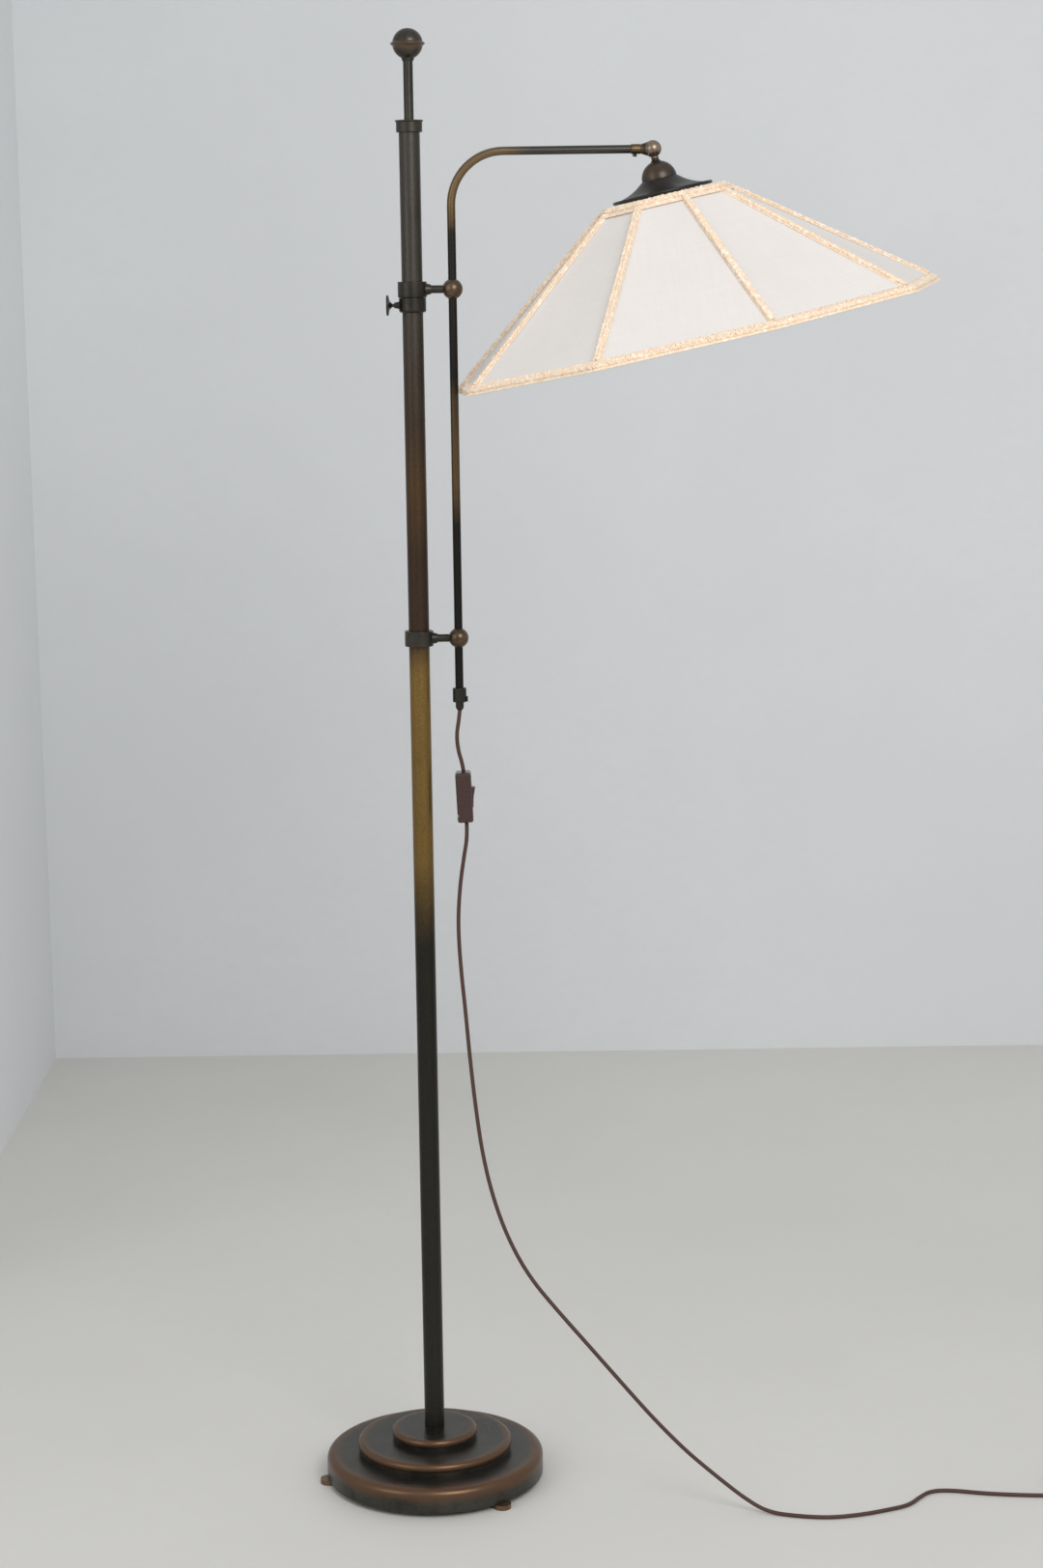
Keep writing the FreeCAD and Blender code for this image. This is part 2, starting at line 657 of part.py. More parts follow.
def thumb_screw():
    """Screw with a thin round head that flares out of its shank."""
    tip = POLE_RADIUS + FACE_GAP
    shank_end = COLLAR_RADIUS + COLLAR_BOSS_REACH + THUMB_SHANK_SHOWN
    head = shank_end + THUMB_TRUMPET
    back = head + THUMB_HEAD_THICKNESS
    body = turned([
        (0, tip, 0), (THUMB_SHANK_RADIUS, tip, 0), (THUMB_SHANK_RADIUS, shank_end, 2.0),
        (THUMB_HEAD_RADIUS * 0.42, head - THUMB_TRUMPET * 0.35, 3.0),
        (THUMB_HEAD_RADIUS, head, 0.5), (THUMB_HEAD_RADIUS, back, 0.9), (0, back, 0),
    ])
    return moved(body, z=COLLAR_Z, rotation=Rotation(Vector(0, 1, 0), -90))


# ---------------------------------------------------------------- arm tube
def arm_path(low, reach):
    """Edges up the arm tube's axis, round the bend and out to a distance."""
    bend_start = Vector(ARM_OFFSET, 0, ARM_HEIGHT - ARM_BEND_RADIUS)
    bend_end = Vector(ARM_OFFSET + ARM_BEND_RADIUS, 0, ARM_HEIGHT)
    slant = ARM_BEND_RADIUS * (1 - math.sqrt(0.5))
    middle = Vector(ARM_OFFSET + slant, 0, ARM_HEIGHT - slant)
    return [
        Part.LineSegment(Vector(ARM_OFFSET, 0, low), bend_start).toShape(),
        Part.Arc(bend_start, middle, bend_end).toShape(),
        Part.LineSegment(bend_end, Vector(reach, 0, ARM_HEIGHT)).toShape(),
    ]


def arm_tube_reach():
    """How far the tube goes into the knuckle's collar, from the pole's axis."""
    return KNUCKLE_X - KNUCKLE_COLLAR_START + KNUCKLE_COLLAR_LENGTH - 3.0


def arm_tube():
    edges = arm_path(ARM_LOWER_END, arm_tube_reach())
    return swept(edges, ARM_RADIUS).cut(swept(edges, ARM_RADIUS - ARM_WALL))


def grip_levels():
    """Heights of the cord grip: top, underside of the body, end of the nose, tip."""
    under = ARM_LOWER_END - GRIP_BELOW
    nose = under - GRIP_NOSE_LENGTH
    return ARM_LOWER_END + GRIP_ABOVE, under, nose, nose - GRIP_TIP_LENGTH


def grip_screw_z():
    """Height of the screw in the grip's side."""
    _, under, _, _ = grip_levels()
    return (under + ARM_LOWER_END) / 2


def grip_screw():
    """Screw in the grip's side that holds the lead."""
    shank = cylinder(GRIP_SCREW_RADIUS, CORD_HOLE + PRESS_GAP, GRIP_RADIUS)
    head = cylinder(GRIP_SCREW_HEAD_RADIUS, GRIP_RADIUS, GRIP_RADIUS + GRIP_SCREW_HEAD)
    return along_x(shank.fuse(head), ARM_OFFSET, 0, grip_screw_z())


def cord_grip():
    top, under, nose, tip = grip_levels()
    body = turned([
        (0, tip, 0), (GRIP_TIP_RADIUS, tip, 0), (GRIP_NOSE_RADIUS, nose, 1.0), (GRIP_NOSE_RADIUS, under, 0),
        (GRIP_RADIUS, under, 1.0), (GRIP_RADIUS, top, 1.0), (0, top, 0),
    ])
    body = body.cut(cylinder(CORD_HOLE, tip - 1, top)).cut(cylinder(ARM_RADIUS + PRESS_GAP, ARM_LOWER_END, top + 1))
    hole = along_x(cylinder(GRIP_SCREW_RADIUS + PRESS_GAP, 0, 2 * GRIP_RADIUS), ARM_OFFSET, 0, grip_screw_z())
    return moved(body, ARM_OFFSET).cut(hole)


def lead_end_x():
    """Where the lead inside the arm tube ends, in the knuckle's neck."""
    return KNUCKLE_X - KNUCKLE_RADIUS - 3.0


def lead_in_arm():
    _, _, _, tip = grip_levels()
    return swept(arm_path(tip, lead_end_x()), CORD_RADIUS)


# ---------------------------------------------------------------- knuckle
def half_space(front, gap):
    """Large box in front of (-Y) or behind (+Y) the knuckle's parting plane."""
    size = 4 * KNUCKLE_RADIUS
    y = (-size, -gap) if front else (gap, size)
    return box((-size, size), y, (-size, size))


def knuckle_cavity(front):
    """Room round one half ball for the other half's shank to clear."""
    return Part.makeSphere(KNUCKLE_RADIUS + FACE_GAP).common(half_space(front, -FACE_GAP / 2))


def half_ball(front):
    return Part.makeSphere(KNUCKLE_RADIUS).common(half_space(front, FACE_GAP / 2))


def knuckle_arm_half():
    """Collar on the arm tube, flared neck and the rear half of the ball."""
    start = -KNUCKLE_COLLAR_START
    end = start + KNUCKLE_COLLAR_LENGTH
    collar = turned([
        (0, start, 0), (KNUCKLE_COLLAR_RADIUS, start, 0.8), (KNUCKLE_COLLAR_RADIUS, end, 0.8), (0, end, 0),
    ])
    neck = cone(KNUCKLE_NECK_RADIUS, KNUCKLE_NECK_END_RADIUS, end - 1.0, -KNUCKLE_NECK_END)
    body = along_x(collar.fuse(neck)).cut(knuckle_cavity(True)).fuse(half_ball(False))
    tube_end = arm_tube_reach() - KNUCKLE_X
    body = body.cut(along_x(cylinder(ARM_RADIUS + PRESS_GAP, start - 1, tube_end)))
    body = body.cut(along_x(cylinder(CORD_HOLE, start, lead_end_x() - KNUCKLE_X)))
    hole = cylinder(SET_SCREW_RADIUS + PRESS_GAP, -2 * KNUCKLE_COLLAR_RADIUS, 0)
    body = moved(body, KNUCKLE_X, 0, ARM_HEIGHT).cut(moved(hole, set_screw_x(), 0, ARM_HEIGHT))
    return body.cut(knuckle_screw(SEAT_GAP))


def knuckle_screw(play=0.0):
    """Pivot screw along Y, its head sunk in the back of the ball."""
    head_start = KNUCKLE_RADIUS - KNUCKLE_SCREW_HEAD - 0.6
    shank = cylinder(KNUCKLE_SCREW_RADIUS + play, -KNUCKLE_RADIUS + 3.0 - play, head_start)
    head = cylinder(KNUCKLE_SCREW_HEAD_RADIUS + play, head_start, KNUCKLE_RADIUS - 0.6 + (3.0 if play else 0.0))
    return moved(shank.fuse(head), KNUCKLE_X, 0, ARM_HEIGHT, ALONG_Y)


def set_screw_x():
    """Place of the set screw along the collar."""
    return KNUCKLE_X - KNUCKLE_COLLAR_START + KNUCKLE_COLLAR_LENGTH * 0.4


def knuckle_set_screw():
    """Small screw under the collar that pins the arm tube."""
    shank = cylinder(SET_SCREW_RADIUS, -KNUCKLE_COLLAR_RADIUS, -ARM_RADIUS - PRESS_GAP)
    head = cylinder(SET_SCREW_HEAD_RADIUS, -KNUCKLE_COLLAR_RADIUS - SET_SCREW_HEAD, -KNUCKLE_COLLAR_RADIUS)
    return moved(shank.fuse(head), set_screw_x(), 0, ARM_HEIGHT)


def knuckle_head_half():
    """Front half of the ball on a hollow stem that goes down through the canopy."""
    stem = cylinder(STEM_RADIUS, -STEM_END, -KNUCKLE_RADIUS * 0.7)
    flange = cone(STEM_FLANGE_RADIUS, STEM_RADIUS, -CANOPY_TOP, -CANOPY_TOP + STEM_FLANGE_HEIGHT)
    body = stem.fuse(flange).cut(knuckle_cavity(False)).fuse(half_ball(True))
    body = body.cut(cylinder(STEM_BORE, -STEM_END - 1, -KNUCKLE_RADIUS - 2.0))
    return placed(body, HEAD).cut(knuckle_screw(SEAT_GAP))


# ---------------------------------------------------------------- canopy, spider and lampholder
def down(*corners):
    """Corners (radius, depth below the pivot, corner radius) as heights."""
    return [(radius, -depth, rounding) for radius, depth, rounding in corners]


def canopy_outline(inset):
    """Edges of the canopy's skin from the stem to the rim, moved in by a distance."""
    dome = CANOPY_DOME_RADIUS - inset
    top = CANOPY_TOP + inset
    flat = math.sqrt(dome ** 2 - (CANOPY_DOME_CENTRE - top) ** 2)
    middle_angle = (math.asin(flat / dome) + math.pi / 2) / 2
    step = CANOPY_DOME_RADIUS + CANOPY_STEP - inset
    start = Vector(step, 0, -CANOPY_DOME_CENTRE - CANOPY_SHEET - inset)
    end = Vector(CANOPY_RADIUS, 0, -CANOPY_RIM - inset)
    chord = end - start
    sag = Vector(chord.z, 0, -chord.x).normalize() * CANOPY_SAG
    shoulder = Vector(dome, 0, -CANOPY_DOME_CENTRE)
    dome_middle = Vector(dome * math.sin(middle_angle), 0, dome * math.cos(middle_angle) - CANOPY_DOME_CENTRE)
    return [
        Part.LineSegment(Vector(STEM_RADIUS + PRESS_GAP, 0, -top), Vector(flat, 0, -top)).toShape(),
        Part.Arc(Vector(flat, 0, -top), dome_middle, shoulder).toShape(),
        Part.LineSegment(shoulder, start).toShape(),
        Part.Arc(start, (start + end) * 0.5 + sag, end).toShape(),
    ]


def ends_of(edges):
    """First and last point of joined edges."""
    return edges[0].valueAt(edges[0].FirstParameter), edges[-1].valueAt(edges[-1].LastParameter)


def canopy():
    """Domed cover with a flared skirt and a rolled rim, spun from sheet."""
    outer = canopy_outline(0.0)
    inner = canopy_outline(CANOPY_SHEET)
    outer_start, outer_end = ends_of(outer)
    inner_start, inner_end = ends_of(inner)
    rim = Part.LineSegment(outer_end, inner_end).toShape()
    bore = Part.LineSegment(inner_start, outer_start).toShape()
    face = Part.Face(Part.Wire(Part.__sortEdges__(outer + [rim] + inner + [bore])))
    skin = face.revolve(Vector(0, 0, 0), Vector(0, 0, 1), 360)
    bead = Part.makeTorus(CANOPY_RADIUS - 0.75 * CANOPY_BEAD, CANOPY_BEAD, Vector(0, 0, -CANOPY_RIM - 0.8 * CANOPY_SHEET))
    return placed(skin.fuse(bead), HEAD)


def stem_nuts():
    """Nuts on the stem: under the canopy, over the spider and in the lampholder."""
    tops = (CANOPY_TOP + CANOPY_SHEET, SPIDER_DEPTH - SPIDER_SHEET - NUT_HEIGHT, HOLDER_TOP + HOLDER_WALL)
    bore = STEM_RADIUS + PRESS_GAP
    return placed(Part.makeCompound([ring(NUT_RADIUS, bore, -top - NUT_HEIGHT, -top) for top in tops]), HEAD)


def shade_spider():
    """Flat hub with arms that reach the shade's top wire at its corners."""
    low, high = -SPIDER_DEPTH, -SPIDER_DEPTH + SPIDER_SHEET
    half = SPIDER_ARM_WIDTH / 2
    to_wire = (WIRE_RADIUS + PRESS_GAP) / math.cos(HALF_SIDE) + half * math.tan(HALF_SIDE)
    reach = wire_radius_at(SPIDER_DEPTH - SPIDER_SHEET / 2) - to_wire
    hub = cylinder(SPIDER_HUB_RADIUS, low, high)
    arm = box((0, reach), (-half, half), (low, high))
    body = hub.fuse(around(arm, SPIDER_ARMS, SHADE_FIRST_CORNER))
    return placed(body.cut(cylinder(STEM_RADIUS + PRESS_GAP, low - 1, high + 1)), HEAD)


def holder_cap():
    """Upper half of the lampholder, a cup with its mouth down."""
    outer = turned(down(
        (0, HOLDER_TOP, 0), (HOLDER_RADIUS, HOLDER_TOP, 7.0), (HOLDER_RADIUS, HOLDER_MIDDLE, 0), (0, HOLDER_MIDDLE, 0)))
    inside = HOLDER_RADIUS - HOLDER_WALL
    inner = turned(down(
        (0, HOLDER_TOP + HOLDER_WALL, 0), (inside, HOLDER_TOP + HOLDER_WALL, 5.0),
        (inside, HOLDER_MIDDLE + 1, 0), (0, HOLDER_MIDDLE + 1, 0)))
    return placed(outer.cut(inner).cut(cylinder(STEM_RADIUS + PRESS_GAP, -HOLDER_MIDDLE, 0)), HEAD)


def holder_body():
    """Lower half of the lampholder round the socket shell."""
    body = ring(HOLDER_RADIUS, SOCKET_RADIUS + PRESS_GAP, -HOLDER_BOTTOM, -HOLDER_MIDDLE)
    return placed(body, HEAD)


def holder_ring():
    """Ring on the lampholder's body near its mouth."""
    low = HOLDER_BOTTOM - HOLDER_RING_HEIGHT - 4.0
    body = ring(HOLDER_RING_RADIUS, HOLDER_RADIUS + PRESS_GAP, -low - HOLDER_RING_HEIGHT, -low)
    return placed(body, HEAD)


def socket_shell():
    """Brass shell that takes the bulb's cap, open below."""
    body = ring(SOCKET_RADIUS, SOCKET_RADIUS - SOCKET_SHEET, -HOLDER_BOTTOM + 1.0, -HOLDER_MIDDLE - 1.0)
    return placed(body, HEAD)


def holder_core():
    """Insulating core above the bulb's cap with its contact."""
    low = BULB_CAP_TOP - 1.0
    core = cylinder(HOLDER_CORE_RADIUS, -low, -low + HOLDER_CORE_HEIGHT)
    flange = cylinder(HOLDER_RADIUS - HOLDER_WALL - PRESS_GAP, -HOLDER_MIDDLE, -HOLDER_MIDDLE + 3.0)
    contact = cylinder(3.0, -BULB_CAP_TOP + PRESS_GAP, -low + 1.0)
    return placed(core.fuse([flange, contact]), HEAD)


def lead_in_stem():
    """Lead through the stem's bore into the lampholder."""
    core_top = BULB_CAP_TOP - 1.0 - HOLDER_CORE_HEIGHT
    return placed(cylinder(CORD_RADIUS, -core_top, -KNUCKLE_RADIUS - 2.5), HEAD)


def bulb_cap():
    """Screw cap of the bulb, a cup with its mouth down."""
    cap = cylinder(BULB_CAP_RADIUS, -HOLDER_BOTTOM, -BULB_CAP_TOP)
    inside = cylinder(BULB_CAP_RADIUS - BULB_WALL, -HOLDER_BOTTOM - 1, -BULB_CAP_TOP - BULB_WALL)
    return placed(cap.cut(inside), HEAD)


def bulb_form(inset):
    """Pear shape with a short neck, moved in by a distance."""
    centre = HOLDER_BOTTOM + BULB_LENGTH - BULB_RADIUS
    radius = BULB_RADIUS - inset
    neck = Vector(BULB_CAP_RADIUS - inset, 0, -HOLDER_BOTTOM)
    upper, lower = math.radians(38.0), math.radians(-19.0)
    tangent = Vector(radius * math.cos(upper), 0, radius * math.sin(upper) - centre)
    side = Vector(radius * math.cos(lower), 0, radius * math.sin(lower) - centre)
    bottom = Vector(0, 0, -centre - radius)
    start = Vector(0, 0, neck.z)
    edges = [
        Part.LineSegment(start, neck).toShape(),
        Part.LineSegment(neck, tangent).toShape(),
        Part.Arc(tangent, side, bottom).toShape(),
        Part.LineSegment(bottom, start).toShape(),
    ]
    return Part.Face(Part.Wire(edges)).revolve(Vector(0, 0, 0), Vector(0, 0, 1), 360)


def bulb_glass():
    return placed(bulb_form(0.0).cut(bulb_form(BULB_WALL)), HEAD)


# ---------------------------------------------------------------- shade
HALF_SIDE = math.pi / SIDES
FLARE = (SHADE_BOTTOM_RADIUS - SHADE_TOP_RADIUS) / (SHADE_BOTTOM - SHADE_TOP)
FACE_SLOPE = math.atan(FLARE * math.cos(HALF_SIDE))


def corner_radius(depth, inset):
    """Radius of the shade's corners at a depth, for a skin moved in by a distance."""
    radius = SHADE_TOP_RADIUS + FLARE * (depth - SHADE_TOP)
    return radius - inset / math.cos(FACE_SLOPE) / math.cos(HALF_SIDE)


def wire_radius_at(depth):
    """Radius of the wire frame's corners at a depth."""
    return corner_radius(depth, FABRIC + WIRE_RADIUS)


def corner(index, depth, inset):
    """Corner point of the shade, counted from the first corner."""
    angle = math.radians(SHADE_FIRST_CORNER) + index * 2 * HALF_SIDE
    radius = corner_radius(depth, inset)
    return Vector(radius * math.cos(angle), radius * math.sin(angle), -depth)


def shade_outline(depth, inset):
    """Closed wire of the shade's skin at a depth."""
    return Part.makePolygon([corner(i, depth, inset) for i in range(SIDES)] + [corner(0, depth, inset)])


def skin_band(top, bottom, inner, outer):
    """Band round the shade between two depths and two insets."""
    whole = Part.makeLoft([shade_outline(top, outer), shade_outline(bottom, outer)], True, True)
    hollow = Part.makeLoft([shade_outline(top, inner), shade_outline(bottom, inner)], True, True)
    return whole.cut(hollow)


def panel(index):
    """Flat fabric panel between two corners, mitred at its sides."""
    wires = []
    for depth in (SHADE_TOP, SHADE_BOTTOM):
        points = [corner(index, depth, 0), corner(index + 1, depth, 0),
                  corner(index + 1, depth, FABRIC), corner(index, depth, FABRIC)]
        wires.append(Part.makePolygon(points + points[:1]))
    return Part.makeLoft(wires, True, True)


def shade_panels():
    return placed(Part.makeCompound([panel(i) for i in range(SIDES)]), HEAD)


def rib_braid(index, top, bottom):
    """Braid folded over a corner, reaching the same width down both panels."""
    wires = []
    for depth in (top, bottom):
        points = []
        for inset, order in ((-BRAID, (-1, 0, 1)), (0.0, (1, 0, -1))):
            here = corner(index, depth, inset)
            for side in order:
                reach = corner(index + side, depth, inset) - here
                wing = reach.normalize() * (RIB_BRAID_WIDTH / 2) if side else Vector()
                points.append(here + wing)
        wires.append(Part.makePolygon(points + points[:1]))
    return Part.makeLoft(wires, True, True)


def braid_limits():
    """Depths where the top braid ends and the bottom braid begins."""
    return SHADE_TOP + TOP_BRAID_HEIGHT, SHADE_BOTTOM - BOTTOM_BRAID_HEIGHT


def shade_rib_braids():
    top, bottom = braid_limits()
    return placed(Part.makeCompound([rib_braid(i, top, bottom) for i in range(SIDES)]), HEAD)


def shade_top_braid():
    top, _ = braid_limits()
    return placed(skin_band(SHADE_TOP, top, 0.0, -BRAID), HEAD)


def shade_bottom_braid():
    _, bottom = braid_limits()
    return placed(skin_band(bottom, SHADE_BOTTOM, 0.0, -BRAID), HEAD)


def wire_corner(index, depth):
    return corner(index, depth, FABRIC + WIRE_RADIUS)


def straight_wire(start, end, cut=0.0):
    """Round wire between two points, shortened at both ends."""
    along = (end - start).normalize()
    start, length = start + along * cut, start.distanceToPoint(end) - 2 * cut
    return Part.makeCylinder(WIRE_RADIUS, length, start, along)


def wire_hoop(depth):
    """Hoop of wire bent at the shade's corners."""
    points = [wire_corner(i, depth) for i in range(SIDES)]
    pieces = [Part.makeSphere(WIRE_RADIUS, point) for point in points]
    pieces += [straight_wire(points[i - 1], points[i]) for i in range(SIDES)]
    return pieces[0].fuse(pieces[1:])


TOP_HOOP = SPIDER_DEPTH - SPIDER_SHEET / 2
BOTTOM_HOOP = SHADE_BOTTOM - 2 * WIRE_RADIUS


def shade_top_hoop():
    return placed(wire_hoop(TOP_HOOP), HEAD)


def shade_bottom_hoop():
    return placed(wire_hoop(BOTTOM_HOOP), HEAD)


def shade_ribs():
    """Straight wires from hoop to hoop, one at each corner."""
    ribs = [straight_wire(wire_corner(i, TOP_HOOP), wire_corner(i, BOTTOM_HOOP), WIRE_RADIUS)
            for i in range(SIDES)]
    return placed(Part.makeCompound(ribs), HEAD)


# ---------------------------------------------------------------- switch in the lead
def switch_box(x_low, x_high, inset, radius=0.0):
    """Block of the switch's outline between two heights over its parting plane."""
    width = SWITCH_WIDTH / 2 - inset
    length = SWITCH_LENGTH / 2 - inset
    block = box((x_low, x_high), (-width, width), (-length, length))
    return block.makeFillet(radius, block.Edges) if radius else block


def switch_body():
    """Outer form of both halves together."""
    return switch_box(-SWITCH_BACK, SWITCH_FRONT, 0.0, SWITCH_ROUNDING)


def switch_cavity():
    """Room for the rocker, the terminals and the lead's ends."""
    half = SWITCH_CAVITY_WIDTH / 2
    length = SWITCH_LENGTH / 2 - 3 * SWITCH_WALL
    inside = box((SWITCH_WALL - SWITCH_BACK, SWITCH_FRONT - SWITCH_WALL), (-half, half), (-length, length))
    lead = cylinder(CORD_HOLE, -SWITCH_LENGTH, SWITCH_LENGTH)
    return inside.fuse(lead)


def switch_screw_places():
    """The two screws stand at opposite corners, clear of the cavity."""
    y = (SWITCH_CAVITY_WIDTH / 2 + SWITCH_WIDTH / 2) / 2
    z = SWITCH_LENGTH / 2 - 9.0
    return [(y, z), (-y, -z)]


def switch_screw(play=0.0):
    """Screw from the back, along +X."""
    head_low = -SWITCH_BACK - play
    shank = cylinder(SWITCH_SCREW_RADIUS + play, -SWITCH_BACK, SWITCH_FRONT - SWITCH_WALL + play)
    head = cylinder(SWITCH_SCREW_HEAD_RADIUS + play, head_low, -SWITCH_BACK + SWITCH_SCREW_HEAD)
    return along_x(head.fuse(shank))


def switch_screws():
    screws = [moved(switch_screw(), 0, y, z) for y, z in switch_screw_places()]
    return placed(Part.makeCompound(screws), SWITCH)


def switch_half(x_low, x_high):
    """Part of the switch's body between two heights, with its screw holes."""
    half = switch_body().common(switch_box(x_low, x_high, -1.0)).cut(switch_cavity())
    for y, z in switch_screw_places():
        half = half.cut(moved(switch_screw(PRESS_GAP), 0, y, z))
    return half


def rocker_pin(play=0.0):
    half = SWITCH_CAVITY_WIDTH / 2 + 2.0
    return moved(cylinder(ROCKER_PIN_RADIUS + play, -half - play, half + play), ROCKER_PIVOT, 0, 0, ALONG_Y)


def switch_back():
    return placed(switch_half(-SWITCH_BACK - 1, 0), SWITCH)


def switch_front():
    """Front half with the rocker's window."""
    length = ROCKER_LENGTH / 2 + WINDOW_GAP
    width = ROCKER_WIDTH / 2 + WINDOW_GAP / 2
    window = box((0, SWITCH_FRONT + 1), (-width, width), (-length, length))
    half = switch_half(0, SWITCH_FRONT + 1)
    return placed(half.cut(window).cut(rocker_pin(PRESS_GAP)), SWITCH)


def switch_rocker():
    """Rocker with a shallow hollow across its face, pressed in at the top end."""
    half = ROCKER_LENGTH / 2
    foot = half * 0.55
    outline = Part.makePolygon([
        Vector(ROCKER_BOTTOM, 0, -foot), Vector(SWITCH_FRONT - SWITCH_WALL, 0, -half),
        Vector(ROCKER_TOP, 0, -half), Vector(ROCKER_TOP - 0.8, 0, 0), Vector(ROCKER_TOP, 0, half),
        Vector(SWITCH_FRONT - SWITCH_WALL, 0, half), Vector(ROCKER_BOTTOM, 0, foot), Vector(ROCKER_BOTTOM, 0, -foot),
    ])
    body = moved(Part.Face(outline).extrude(Vector(0, ROCKER_WIDTH, 0)), y=-ROCKER_WIDTH / 2)
    body = body.cut(rocker_pin(SEAT_GAP))
    pivot = Vector(ROCKER_PIVOT, 0, 0)
    body.rotate(pivot, Vector(0, 1, 0), ROCKER_TILT)
    return placed(body, SWITCH)


def switch_pin():
    return placed(rocker_pin(), SWITCH)


def switch_terminals():
    """Two brass blocks at the ends of the cavity."""
    half = TERMINAL_SIZE / 2
    z = SWITCH_LENGTH / 2 - 3 * SWITCH_WALL - TERMINAL_SIZE
    low = SWITCH_WALL - SWITCH_BACK
    block = box((low, low + TERMINAL_SIZE), (-half, half), (z - half, z + half))
    return placed(Part.makeCompound([block, moved(block, z=-2 * z)]), SWITCH)


# ---------------------------------------------------------------- coil and plug
COIL_CENTRE = COIL_START + Vector(COIL_LEAD, COIL_RADIUS, 0)
COIL_TURNS = COIL_TURNS_IN + COIL_CLIMB + COIL_TURNS_OUT


def coil_point(turn):
    """Point of the coil after a number of turns from its start."""
    inner = COIL_RADIUS - COIL_PITCH * COIL_TURNS_IN
    if turn < COIL_TURNS_IN:
        radius = COIL_RADIUS - COIL_PITCH * turn
        height = 0.0
    elif turn < COIL_TURNS_IN + COIL_CLIMB:
        share = (turn - COIL_TURNS_IN) / COIL_CLIMB
        radius = inner - COIL_DIP * math.sin(math.pi * share)
        height = COIL_LAYER * (1 - math.cos(math.pi * share)) / 2
    else:
        radius = inner + COIL_PITCH * (turn - COIL_TURNS_IN - COIL_CLIMB)
        height = COIL_LAYER
    angle = 2 * math.pi * turn - math.pi / 2
    return COIL_CENTRE + Vector(radius * math.cos(angle), radius * math.sin(angle), height)


def coil_tangent(turn):
    """Direction of the coil, square to its radius at both ends."""
    if turn <= 0:
        return Vector(1, 0, 0)
    if turn >= COIL_TURNS:
        return Vector(0, 1, 0)
    return (coil_point(turn + 0.02) - coil_point(turn - 0.02)).normalize()


def coil_edges():
    """Straight lead-in, biarcs of a quarter turn and straight lead-out."""
    quarters = [i / 4 for i in range(round(COIL_TURNS * 4) + 1)]
    edges = [Part.LineSegment(COIL_START, coil_point(0)).toShape()]
    for turn, following in zip(quarters, quarters[1:]):
        edges += biarc(coil_point(turn), coil_tangent(turn), coil_point(following), coil_tangent(following))
    edges.append(Part.LineSegment(coil_point(COIL_TURNS), coil_end()).toShape())
    return edges


def coil_end():
    """Where the lead leaves the coil for the plug."""
    return coil_point(COIL_TURNS) + coil_tangent(COIL_TURNS) * COIL_LEAD


def coil_least_gap(edges):
    """Least distance between stretches of the coil that aren't neighbours, less its diameter."""
    points, lengths, length = [], [], 0.0
    for edge in edges:
        count = max(2, round(edge.Length / 1.5))
        for i in range(count):
            share = i / count
            points.append(edge.valueAt(edge.FirstParameter + share * (edge.LastParameter - edge.FirstParameter)))
            lengths.append(length + share * edge.Length)
        length += edge.Length
    least = 1e9
    for i, here in enumerate(points):
        for j in range(i + 1, len(points)):
            if lengths[j] - lengths[i] > 8 * CORD_RADIUS:
                least = min(least, here.distanceToPoint(points[j]))
    return least - 2 * CORD_RADIUS


def cord_coil():
    edges = coil_edges()
    tube = swept(edges, CORD_RADIUS)
    length = sum(edge.Length for edge in edges)
    expected = math.pi * CORD_RADIUS ** 2 * length
    print("coil length", round(length, 1), "volume ratio", round(tube.Volume / expected, 4))
    print("  least gap", round(coil_least_gap(edges), 2))
    return tube


def plug_shape(shape):
    """A shape made about Z from the lead's end, laid along +Y beside the coil."""
    return moved(shape, coil_end().x, coil_end().y, coil_end().z, ALONG_Y)


def plug_body():
    """Flat two-pin plug with a tapered neck."""
    height = coil_end().z
    low, high = PLUG_NECK_LENGTH, PLUG_NECK_LENGTH + PLUG_LENGTH
    body = round_box((-PLUG_WIDTH / 2, PLUG_WIDTH / 2), (-height, height), (low, high), PLUG_ROUNDING)
    neck = cone(CORD_RADIUS + 0.7, PLUG_NECK_RADIUS, 0, low + PLUG_ROUNDING)
    return plug_shape(body.fuse(neck).cut(plug_pin_pair(PRESS_GAP)))


def plug_pin_pair(play=0.0):
    """Two round pins sunk into the plug's front."""
    front = PLUG_NECK_LENGTH + PLUG_LENGTH
    pin = cylinder(PLUG_PIN_RADIUS + play, front - 8.0 - play, front + PLUG_PIN_LENGTH)
    half = PLUG_PIN_SPACING / 2
    return Part.makeCompound([moved(pin, -half), moved(pin, half)])


def plug_pins():
    return plug_shape(plug_pin_pair())


